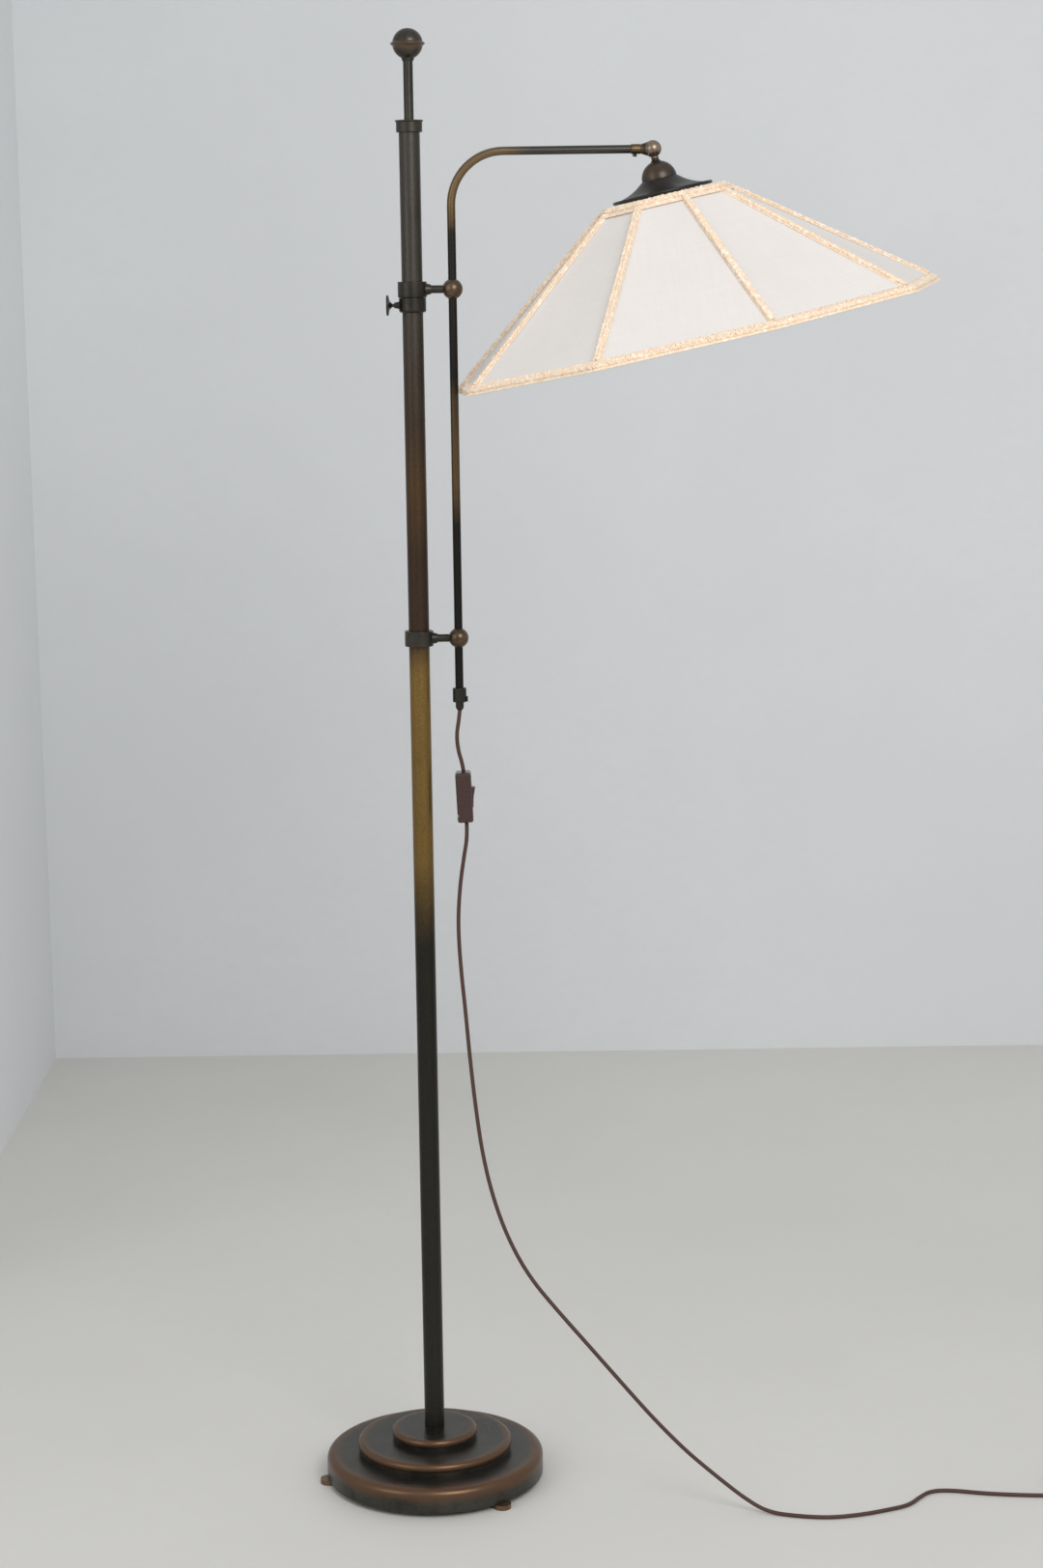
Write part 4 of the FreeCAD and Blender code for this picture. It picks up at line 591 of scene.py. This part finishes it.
def mesh_from(work, name):
    """Mesh of a finished bmesh, which is then freed."""
    mesh = bpy.data.meshes.new(name)
    work.to_mesh(mesh)
    work.free()
    return mesh


def head_point(radius, angle, depth):
    """Point of the head from its axis, in the lamp's frame."""
    return HEAD @ Vector((radius * math.cos(angle), radius * math.sin(angle), -depth))


def head_turn(vector):
    """Direction in the head, turned into the lamp's frame."""
    return HEAD.to_3x3() @ vector


def corner_radius(depth):
    """Distance of the shade's corners from its axis."""
    share = (depth - SHADE_TOP) / (SHADE_BOTTOM - SHADE_TOP)
    return TOP_RADIUS + (BOTTOM_RADIUS - TOP_RADIUS) * share


def corner(index, depth):
    """Corner of the shade's skin at a depth."""
    angle = FIRST_CORNER + index * math.tau / SIDES
    return head_point(corner_radius(depth), angle, depth)


def panel_normal(index):
    """Outward direction of a panel."""
    slope = math.atan((BOTTOM_RADIUS - TOP_RADIUS) / (SHADE_BOTTOM - SHADE_TOP) * math.cos(math.pi / SIDES))
    angle = FIRST_CORNER + (index + 0.5) * math.tau / SIDES
    flat = math.cos(slope)
    return head_turn(Vector((math.cos(angle) * flat, math.sin(angle) * flat, math.sin(slope))))


def corner_normal(index):
    """Outward direction between the two panels at a corner."""
    return (panel_normal(index - 1) + panel_normal(index)).normalized()


def copy_of_node(name):
    """Merged copy of a CAD node's mesh."""
    work = bmesh.new()
    work.from_mesh(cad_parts[name].data)
    bmesh.ops.remove_doubles(work, verts=work.verts, dist=2e-6)
    return work


# ---- lead
def coil_points():
    """Points of the coil's turns: in, up a layer and out again."""
    start = Vector(RUN_ROUTE[-1]) + Vector((COIL["lead"], 0, 0))
    centre = start + Vector((0, COIL["radius"], 0))
    total = COIL["turns_in"] + COIL["climb"] + COIL["turns_out"]
    inner = COIL["radius"] - COIL["pitch"] * COIL["turns_in"]
    swell = 1 / math.cos(math.pi / COIL["steps"])
    points = []
    for i in range(1, round(total * COIL["steps"]) + 1):
        turn = i / COIL["steps"]
        climbed = turn - COIL["turns_in"]
        if climbed < 0:
            radius, height = COIL["radius"] - COIL["pitch"] * turn, 0.0
        elif climbed < COIL["climb"]:
            share = climbed / COIL["climb"]
            radius = inner - COIL["dip"] * math.sin(math.pi * share)
            height = COIL["layer"] * (1 - math.cos(math.pi * share)) / 2
        else:
            radius, height = inner + COIL["pitch"] * (climbed - COIL["climb"]), COIL["layer"]
        angle = math.tau * turn - math.pi / 2
        reach = radius * swell
        points.append(centre + Vector((reach * math.cos(angle), reach * math.sin(angle), height)))
    last = points[-1].copy()
    last.x = centre.x + inner + COIL["pitch"] * COIL["turns_out"]
    points[-1] = last
    return points + [last + Vector((0, COIL["lead"], 0))]


def route_points(name, points):
    """Points along the smooth line of a route, in metres."""
    curve = bpy.data.curves.new(name, "CURVE")
    curve.dimensions = "3D"
    curve.resolution_u = 8
    spline = curve.splines.new("NURBS")
    spline.points.add(len(points) - 1)
    for point, place in zip(spline.points, points):
        point.co = (*(Vector(place) * MM), 1.0)
    spline.order_u = 3
    spline.use_endpoint_u = True
    line = evaluated_mesh(linked_object(name, curve))
    found = [vertex.co.copy() for vertex in line.vertices]
    bpy.data.meshes.remove(line)
    kept = [found[0]]
    for place in found[1:]:
        if (place - kept[-1]).length > 1e-5:
            kept.append(place)
    return kept


def tube_mesh(name, path, radius, facets):
    """Round tube along points, with a UV map: once round, and length in circumferences."""
    work = bmesh.new()
    layer = work.loops.layers.uv.new("UVMap")
    tangents = [(path[min(i + 1, len(path) - 1)] - path[max(i - 1, 0)]).normalized() for i in range(len(path))]
    side = tangents[0].orthogonal().normalized()
    rings, lengths, length = [], [], 0.0
    for i, (place, tangent) in enumerate(zip(path, tangents)):
        side = (side - tangent * side.dot(tangent)).normalized()
        across = tangent.cross(side)
        length += (place - path[i - 1]).length if i else 0.0
        lengths.append(length / (math.tau * radius))
        rings.append([work.verts.new(place + (side * math.cos(a) + across * math.sin(a)) * radius)
                      for a in (math.tau * k / facets for k in range(facets))])
    for i, (ring, after) in enumerate(zip(rings, rings[1:])):
        for k in range(facets):
            following = (k + 1) % facets
            face = work.faces.new((ring[k], ring[following], after[following], after[k]))
            face.smooth = True
            places = ((k, i), (k + 1, i), (k + 1, i + 1), (k, i + 1))
            for loop, (around, along) in zip(face.loops, places):
                loop[layer].uv = (around / facets, lengths[along])
    work.faces.new(reversed(rings[0]))
    work.faces.new(rings[-1])
    return mesh_from(work, name)


def lead_piece(name, path, values, material):
    return mesh_object(name, tube_mesh(name, path, values.diameter / 2, values.facets), material)


# ---- operators
class LAMP_OT_camera(bpy.types.Operator):
    """Sets the camera"""
    bl_idname = "lamp.camera"
    bl_label = "Camera"

    def execute(self, context):
        values = context.scene.lamp_camera
        ahead = Vector((0, math.cos(values.pitch), -math.sin(values.pitch)))
        right = Vector((1, 0, 0))
        up = right.cross(ahead)
        turned_right = right * math.cos(values.roll) + up * math.sin(values.roll)
        turned_up = up * math.cos(values.roll) - right * math.sin(values.roll)
        data = bpy.data.cameras.new("camera")
        data.lens = values.lens
        data.sensor_width = 36.0
        data.clip_end = 50.0
        camera = linked_object("camera", data)
        turn = Matrix((turned_right, turned_up, -ahead)).transposed().to_4x4()
        camera.matrix_world = Matrix.Translation(values.place) @ turn
        context.scene.camera = camera
        return {"FINISHED"}


class LAMP_OT_lead(bpy.types.Operator):
    """Lays the lead from the grip to the switch, down to the floor and into its coil"""
    bl_idname = "lamp.lead"
    bl_label = "Lead"

    def execute(self, context):
        values = context.scene.lamp_lead
        material = lead_finish(values)
        upper = route_points("lead to switch", UPPER_ROUTE)
        piece = lead_piece("lead_to_switch", upper, values, material)
        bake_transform(piece)
        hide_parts("cord_upper")
        long = route_points("lead to plug", RUN_ROUTE + coil_points())
        piece = lead_piece("lead_to_plug", long, values, material)
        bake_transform(piece)
        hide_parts("cord_run", "cord_coil")
        return {"FINISHED"}


def shade_cloth_mesh(shade, columns=14, rows=18):
    """Drawn-in panels as one thin closed skin, with a UV map in metres."""
    work = bmesh.new()
    layer = work.loops.layers.uv.new("UVMap")
    skins = []
    for inset in (0.0, shade.thickness):
        grid = []
        for row in range(rows + 1):
            v = row / rows
            depth = SHADE_TOP + (SHADE_BOTTOM - SHADE_TOP) * v
            line = []
            for index in range(SIDES):
                left, right = corner(index, depth), corner(index + 1, depth)
                flat = panel_normal(index)
                for column in range(columns):
                    u = column / columns
                    place = left.lerp(right, u)
                    drawn = shade.sag * math.sin(math.pi * u) ** 0.8 * max(0.0, math.sin(math.pi * v))
                    direction = flat if column else corner_normal(index)
                    line.append(work.verts.new(place - direction * (drawn + inset)))
            grid.append(line)
        skins.append(grid)
    count = SIDES * columns
    height = (corner(0, SHADE_BOTTOM) - corner(0, SHADE_TOP)).length
    for skin, grid in enumerate(skins):
        for row in range(rows):
            for k in range(count):
                following = (k + 1) % count
                square = [(row, k), (row + 1, k), (row + 1, following), (row, following)]
                if skin:
                    square.reverse()
                face = work.faces.new([grid[r][c] for r, c in square])
                face.smooth = True
                for loop, (r, c) in zip(face.loops, square):
                    column = c % columns if c != following else (k % columns) + 1
                    radius = corner_radius(SHADE_TOP + (SHADE_BOTTOM - SHADE_TOP) * r / rows)
                    width = 2 * radius * math.sin(math.pi / SIDES)
                    across = (column / columns - 0.5) * width + (k // columns) * PANEL_SPACING
                    loop[layer].uv = (across, r / rows * height)
    for row in (0, rows):
        for k in range(count):
            following = (k + 1) % count
            rim = [skins[0][row][k], skins[0][row][following], skins[1][row][following], skins[1][row][k]]
            work.faces.new(rim if row == 0 else rim[::-1])
    for edge in work.edges:
        if len(edge.link_faces) == 2 and edge.calc_face_angle(0.0) > 0.35:
            edge.smooth = False
    return mesh_from(work, "shade_cloth")


class LAMP_OT_shade_cloth(bpy.types.Operator):
    """Stretches the cloth over the shade's frame"""
    bl_idname = "lamp.shade_cloth"
    bl_label = "Shade cloth"

    def execute(self, context):
        shade = context.scene.lamp_shade
        mesh = shade_cloth_mesh(shade)
        piece = mesh_object("shade_cloth", mesh, cloth_finish(shade))
        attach(piece, "head")
        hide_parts("shade_panels")
        return {"FINISHED"}


def geometry_tree(name, sockets):
    """Empty Geometry Nodes tree with its own (name, type) inputs between the geometry and the material."""
    tree = bpy.data.node_groups.new(name, "GeometryNodeTree")
    tree.is_modifier = True
    for title, kind in (("Geometry", "Geometry"), *sockets, ("Material", "Material")):
        tree.interface.new_socket(name=title, in_out="INPUT", socket_type="NodeSocket" + kind)
    tree.interface.new_socket(name="Geometry", in_out="OUTPUT", socket_type="NodeSocketGeometry")
    return tree, tree.nodes.new("NodeGroupInput").outputs, tree.nodes.new("NodeGroupOutput").inputs


def plait_tree():
    """Geometry nodes: three strands that cross along each line of the given mesh."""
    tree, given, result = geometry_tree("Plait", [(title, "Float") for title in (
        "Step", "Half Width", "Lift", "Strand Radius", "Wave Length", "Unevenness")])
    lines = output(tree, "GeometryNodeMeshToCurve", {"Mesh": given["Geometry"]})
    lines = output(tree, "GeometryNodeResampleCurve", {"Curve": lines, "Length": given["Step"]},
                   mode="LENGTH")
    length = tree.nodes.new("GeometryNodeSplineParameter").outputs["Length"]
    tangent = tree.nodes.new("GeometryNodeInputTangent").outputs[0]
    outward = output(tree, "GeometryNodeInputNamedAttribute", {"Name": "outward"}, data_type="FLOAT_VECTOR")
    across = vectors(tree, "NORMALIZE", vectors(tree, "CROSS_PRODUCT", tangent, outward))
    profile = output(tree, "GeometryNodeCurvePrimitiveCircle",
                     {"Resolution": 6, "Radius": given["Strand Radius"]})
    turn = maths(tree, "DIVIDE", times(tree, length, math.tau), given["Wave Length"])
    joined = tree.nodes.new("GeometryNodeJoinGeometry")
    for strand in range(3):
        angle = add(tree, turn, math.tau * strand / 3)
        swing = times(tree, maths(tree, "SINE", angle), given["Half Width"])
        rise = times(tree, maths(tree, "SINE", times(tree, angle, 2.0)), given["Lift"])
        crossing = vectors(tree, "ADD", vectors(tree, "SCALE", across, swing),
                           vectors(tree, "SCALE", outward, rise))
        position = tree.nodes.new("GeometryNodeInputPosition").outputs[0]
        place = vectors(tree, "ADD", position, (0.31 * strand, 0.0, 0.0))
        drift = node(tree, "ShaderNodeTexNoise",
                     {"Vector": place, "Scale": 260.0, "Detail": 1.0}).outputs["Color"]
        stray = vectors(tree, "SCALE", vectors(tree, "SUBTRACT", drift, (0.5, 0.5, 0.5)), given["Unevenness"])
        offset = vectors(tree, "ADD", crossing, stray)
        moved = output(tree, "GeometryNodeSetPosition", {"Geometry": lines, "Offset": offset})
        tube = output(tree, "GeometryNodeCurveToMesh",
                      {"Curve": moved, "Profile Curve": profile, "Fill Caps": True})
        tree.links.new(tube, joined.inputs[0])
    smooth = output(tree, "GeometryNodeSetShadeSmooth", {0: joined.outputs[0]})
    real = output(tree, "GeometryNodeRealizeInstances", {0: smooth})
    final = output(tree, "GeometryNodeSetMaterial", {"Geometry": real, "Material": given["Material"]})
    tree.links.new(final, result[0])
    return tree


def realised(name, mesh, tree, material, values):
    """Mesh that a Geometry Nodes tree makes of a mesh."""
    holder = mesh_object(name, mesh, material)
    modifier = holder.modifiers.new("made", "NODES")
    modifier.node_group = tree
    for item in tree.interface.items_tree:
        if item.in_out == "INPUT" and item.name in values:
            modifier[item.identifier] = values[item.name]
    return evaluated_mesh(holder)


def line_mesh(name, lines):
    """Mesh of lines; each line is (points, outward directions, closed)."""
    places, directions, edges = [], [], []
    for points, outward, closed in lines:
        first = len(places)
        places += points
        directions += outward
        edges += [(first + i, first + i + 1) for i in range(len(points) - 1)]
        if closed:
            edges.append((len(places) - 1, first))
    mesh = bpy.data.meshes.new(name)
    mesh.from_pydata(places, edges, [])
    attribute = mesh.attributes.new("outward", "FLOAT_VECTOR", "POINT")
    attribute.data.foreach_set("vector", [c for d in directions for c in d])
    return mesh


def hoop_line(depth, steps=14):
    """Closed line round the shade on its skin."""
    points, outward = [], []
    for index in range(SIDES):
        for step in range(steps):
            u = step / steps
            sharp = max(0.0, 1.0 - min(u, 1 - u) * steps / 1.5)
            near = corner_normal(index) if u < 0.5 else corner_normal(index + 1)
            direction = panel_normal(index).lerp(near, sharp).normalized()
            points.append(corner(index, depth).lerp(corner(index + 1, depth), u) + direction * BRAID_LIFT)
            outward.append(direction)
    return points, outward, True


def braid_piece(shade, name, cad_node, lines, half_width, tree, material):
    """Flat band under a plait of three strands, as one mesh."""
    values = {"Step": shade.spacing, "Half Width": half_width, "Lift": CROSSING_LIFT,
              "Strand Radius": shade.strand, "Wave Length": shade.wave, "Unevenness": shade.fray * 2,
              "Material": material}
    plait = realised(name + "_lines", line_mesh(name + "_lines", lines), tree, material, values)
    work = copy_of_node(cad_node)
    work.from_mesh(plait)
    mesh = mesh_from(work, name)
    bpy.data.meshes.remove(plait)
    piece = mesh_object(name, mesh, material)
    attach(piece, "head")
    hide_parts(cad_node)
    return piece


class LAMP_OT_shade_braids(bpy.types.Operator):
    """Plaits the braid round the shade's edges and down its corners"""
    bl_idname = "lamp.shade_braids"
    bl_label = "Shade braids"

    def execute(self, context):
        shade = context.scene.lamp_shade
        tree, material = plait_tree(), braid_finish(shade)
        corners = []
        for index in range(SIDES):
            outward = corner_normal(index)
            depths = (SHADE_TOP + CORNER_START, SHADE_BOTTOM - CORNER_END)
            ends = [corner(index, depth) + outward * BRAID_LIFT for depth in depths]
            corners.append((ends, [outward, outward], False))
        top, bottom = [hoop_line(SHADE_TOP + TOP_LINE)], [hoop_line(SHADE_BOTTOM - BOTTOM_LINE, 20)]
        braid_piece(shade, "braid_corners", "shade_rib_braids", corners, CORNER_HALF, tree, material)
        braid_piece(shade, "braid_top", "shade_top_braid", top, TOP_HALF, tree, material)
        braid_piece(shade, "braid_bottom", "shade_bottom_braid", bottom, BOTTOM_HALF, tree, material)
        return {"FINISHED"}


def rib_tree():
    """Geometry nodes: equal ribs in a circle about Z."""
    tree, given, result = geometry_tree("Grip ribs", [
        ("Radius", "Float"), ("Rib Radius", "Float"), ("Height", "Float"), ("Count", "Int")])
    circle = output(tree, "GeometryNodeCurvePrimitiveCircle",
                    {"Resolution": given["Count"], "Radius": given["Radius"]})
    points = node(tree, "GeometryNodeCurveToPoints", {0: circle}, mode="EVALUATED").outputs["Points"]
    rib = node(tree, "GeometryNodeMeshCylinder",
               {"Vertices": 8, "Radius": given["Rib Radius"], "Depth": given["Height"]}).outputs["Mesh"]
    placed = output(tree, "GeometryNodeInstanceOnPoints", {"Points": points, "Instance": rib})
    real = output(tree, "GeometryNodeRealizeInstances", {0: placed})
    smooth = output(tree, "GeometryNodeSetShadeSmooth", {0: real})
    final = output(tree, "GeometryNodeSetMaterial", {"Geometry": smooth, "Material": given["Material"]})
    tree.links.new(final, result[0])
    return tree


class LAMP_OT_holder_ribs(bpy.types.Operator):
    """Puts the finger ribs round the lampholder's ring"""
    bl_idname = "lamp.holder_ribs"
    bl_label = "Lampholder ribs"

    def execute(self, context):
        material = moulded_finish("lampholder ribs", (0.030, 0.024, 0.020))
        mesh = bpy.data.meshes.new("holder_ribs")
        values = {"Radius": 0.0240, "Rib Radius": 0.0007, "Height": 0.0052, "Count": 40, "Material": material}
        made = realised("holder_ribs", mesh, rib_tree(), material, values)
        made.transform(HEAD @ Matrix.Translation((0, 0, -HOLDER_RING_DEPTH)))
        piece = mesh_object("holder_ribs", made, material)
        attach(piece, "head")
        return {"FINISHED"}


class LAMP_OT_finishes(bpy.types.Operator):
    """Gives every solid piece its finish"""
    bl_idname = "lamp.finishes"
    bl_label = "Finishes"

    def execute(self, context):
        metal, lead = context.scene.lamp_metal, context.scene.lamp_lead
        dark = plain_patina("dark bronze", (0.030, 0.027, 0.023), (0.062, 0.056, 0.046), thin=0.5, rough=0.34)
        brown = plain_patina("brown bronze", (0.055, 0.040, 0.028), (0.160, 0.108, 0.068), thin=0.55,
                             rough=0.30)
        steel = steel_finish()
        brass = plain_patina("bare brass", (0.34, 0.23, 0.09), (0.56, 0.41, 0.17), thin=0.6, cloud=60.0,
                             rough=0.30)
        foot = plain_patina("foot bronze", (0.10, 0.062, 0.036), (0.24, 0.15, 0.085), thin=0.6, rough=0.34)
        black = moulded_finish("lampholder resin", (0.030, 0.024, 0.020))
        resin = moulded_finish("switch resin", (0.052, 0.020, 0.016), rough=0.26)
        finishes = {base_finish(metal, size + " disc patina", rim): [f"base_{size}_disc"]
                    for size, rim in DISC_RIMS.items()}
        finishes |= {
            foot: ["base_feet"],
            pole_finish(metal): ["pole_tube"],
            arm_finish(metal): ["arm_tube"],
            finial_finish(): ["finial_ball"],
            dark: ["pole_cup", "finial_rod", "upper_bracket_ring", "lower_bracket_ring", "bracket_rods",
                   "lock_collar", "thumb_screw", "cord_grip", "grip_screw", "knuckle_set_screw"],
            canopy_finish(): ["canopy"],
            knuckle_finish(metal, "knuckle collar", (0.170, 0.118, 0.062)): ["knuckle_arm_half"],
            knuckle_finish(metal, "knuckle stem", (0.050, 0.042, 0.034)): ["knuckle_head_half"],
            brown: ["upper_bracket_ball", "lower_bracket_ball"],
            steel: ["foot_screws", "base_rod", "base_washer", "base_nut", "pole_foot_insert",
                    "pole_head_insert", "ball_screws", "knuckle_screw", "switch_screws", "switch_pin",
                    "bulb_cap"],
            brass: ["stem_nuts", "socket_shell", "switch_terminals", "plug_pins"],
            black: ["holder_cap", "holder_core", "holder_body", "holder_ring"],
            resin: ["switch_back", "switch_front", "plug_body"],
            moulded_finish("rocker resin", (0.070, 0.034, 0.030), rough=0.22): ["switch_rocker"],
            wire_finish(): ["shade_spider", "shade_top_hoop", "shade_bottom_hoop", "shade_ribs"],
            bulb_finish(): ["bulb_glass"],
            plain_lead_finish(lead): ["lead_in_arm", "lead_in_stem", "cord_upper", "cord_run", "cord_coil"],
            bpy.data.materials["shade cloth"]: ["shade_panels"],
            bpy.data.materials["cream braid"]: ["shade_top_braid", "shade_bottom_braid", "shade_rib_braids"],
        }
        left = set(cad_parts)
        for material, names in finishes.items():
            for name in names:
                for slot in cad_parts[name].material_slots:
                    slot.material = material
                left.discard(name)
        if left:
            raise RuntimeError("no finish for " + ", ".join(sorted(left)))
        return {"FINISHED"}


class LAMP_OT_stage(bpy.types.Operator):
    """Builds the floor, the walls and the light"""
    bl_idname = "lamp.stage"
    bl_label = "Stage"

    def surface(self, name, colour, rough, corners):
        """Plane that shows only its front, so that the walls don't hide the lamp from behind."""
        material, tree, target = new_material(name)
        back = tree.nodes.new("ShaderNodeNewGeometry").outputs["Backfacing"]
        tree.links.new(minus(tree, 1.0, back), target["Alpha"])
        place = object_place(tree)
        cloud = noise(tree, place, 1.1, 4.0, 0.55)
        grain = noise(tree, stretched(tree, place, (34.0, 60.0, 60.0)), 1.0, 4.0, 0.75)
        tone = blend_colour(tree, spread(tree, cloud, 0.35, 0.65), colour, [c * 0.96 for c in colour])
        tone = blend_colour(tree, spread(tree, grain, 0.35, 0.75, 0.0, 0.35), tone, [c * 0.94 for c in colour])
        tree.links.new(tone, target["Base Color"])
        target["Roughness"].default_value = rough
        mesh = bpy.data.meshes.new(name)
        mesh.from_pydata(corners, [], [tuple(range(len(corners)))])
        mesh_object(name, mesh, material)

    def wall(self, name, start, end):
        """Upright wall between two points of the floor."""
        corners = [(*start, 0.0), (*end, 0.0), (*end, WALL_HEIGHT), (*start, WALL_HEIGHT)]
        self.surface(name, WALL_COLOUR, 0.9, corners)

    def execute(self, context):
        half = FLOOR_HALF
        self.surface("floor", (0.730, 0.715, 0.678), 0.6,
                     [(-half, -half, 0.0), (half, -half, 0.0), (half, half, 0.0), (-half, half, 0.0)])
        self.wall("back_wall", (-half, BACK_WALL), (half, BACK_WALL))
        self.wall("side_wall", (SIDE_WALL, SIDE_WALL_FRONT), (SIDE_WALL, BACK_WALL))
        world = bpy.data.worlds.new("studio")
        context.scene.world = world
        world.use_nodes = True
        sky = world.node_tree.nodes["Background"]
        sky.inputs[0].default_value = (0.97, 0.985, 1.0, 1.0)
        sky.inputs[1].default_value = SKY_STRENGTH
        self.lamp("key", place=(1.3, -2.9, 2.9), aim=(0.2, 0.1, 1.1), size=2.0, power=56.0)
        self.lamp("fill", place=(-2.4, -2.2, 2.2), aim=(0.1, 0.4, 0.9), size=2.2, power=16.0)
        context.scene.view_settings.view_transform = "Standard"
        return {"FINISHED"}

    def lamp(self, name, place, aim, size, power):
        """Round area light that points at a place."""
        data = bpy.data.lights.new(name, "AREA")
        data.shape = "DISK"
        data.size = size
        data.energy = power
        made = linked_object(name, data)
        made.location = place
        made.rotation_euler = (Vector(aim) - Vector(place)).to_track_quat("-Z", "Y").to_euler()


class LAMP_PT_panel(bpy.types.Panel):
    """Lists the lamp's operators and settings"""
    bl_idname = "LAMP_PT_panel"
    bl_label = "Bridge floor lamp"
    bl_space_type = "VIEW_3D"
    bl_region_type = "UI"
    bl_category = "Lamp"

    def draw(self, context):
        for step in STEPS:
            self.layout.operator(step.bl_idname)
        for group in SETTINGS:
            values = getattr(context.scene, group)
            column = self.layout.column(heading=group)
            for name in values.__annotations__:
                column.prop(values, name)


SETTINGS = {"lamp_camera": LampCameraSettings, "lamp_metal": LampMetalSettings,
            "lamp_shade": LampShadeSettings, "lamp_lead": LampLeadSettings}
STEPS = (LAMP_OT_camera, LAMP_OT_lead, LAMP_OT_shade_cloth, LAMP_OT_shade_braids, LAMP_OT_holder_ribs,
         LAMP_OT_finishes, LAMP_OT_stage)
CLASSES = (*SETTINGS.values(), *STEPS, LAMP_PT_panel)


def register():
    for item in CLASSES:
        bpy.utils.register_class(item)
    for name, group in SETTINGS.items():
        setattr(bpy.types.Scene, name, PointerProperty(type=group))


def unregister():
    for name in SETTINGS:
        delattr(bpy.types.Scene, name)
    for item in reversed(CLASSES):
        bpy.utils.unregister_class(item)


def main():
    register()
    bpy.ops.lamp.camera()
    bpy.ops.lamp.lead()
    bpy.ops.lamp.shade_cloth()
    bpy.ops.lamp.shade_braids()
    bpy.ops.lamp.holder_ribs()
    bpy.ops.lamp.finishes()
    bpy.ops.lamp.stage()


if __name__ == "__main__":
    main()
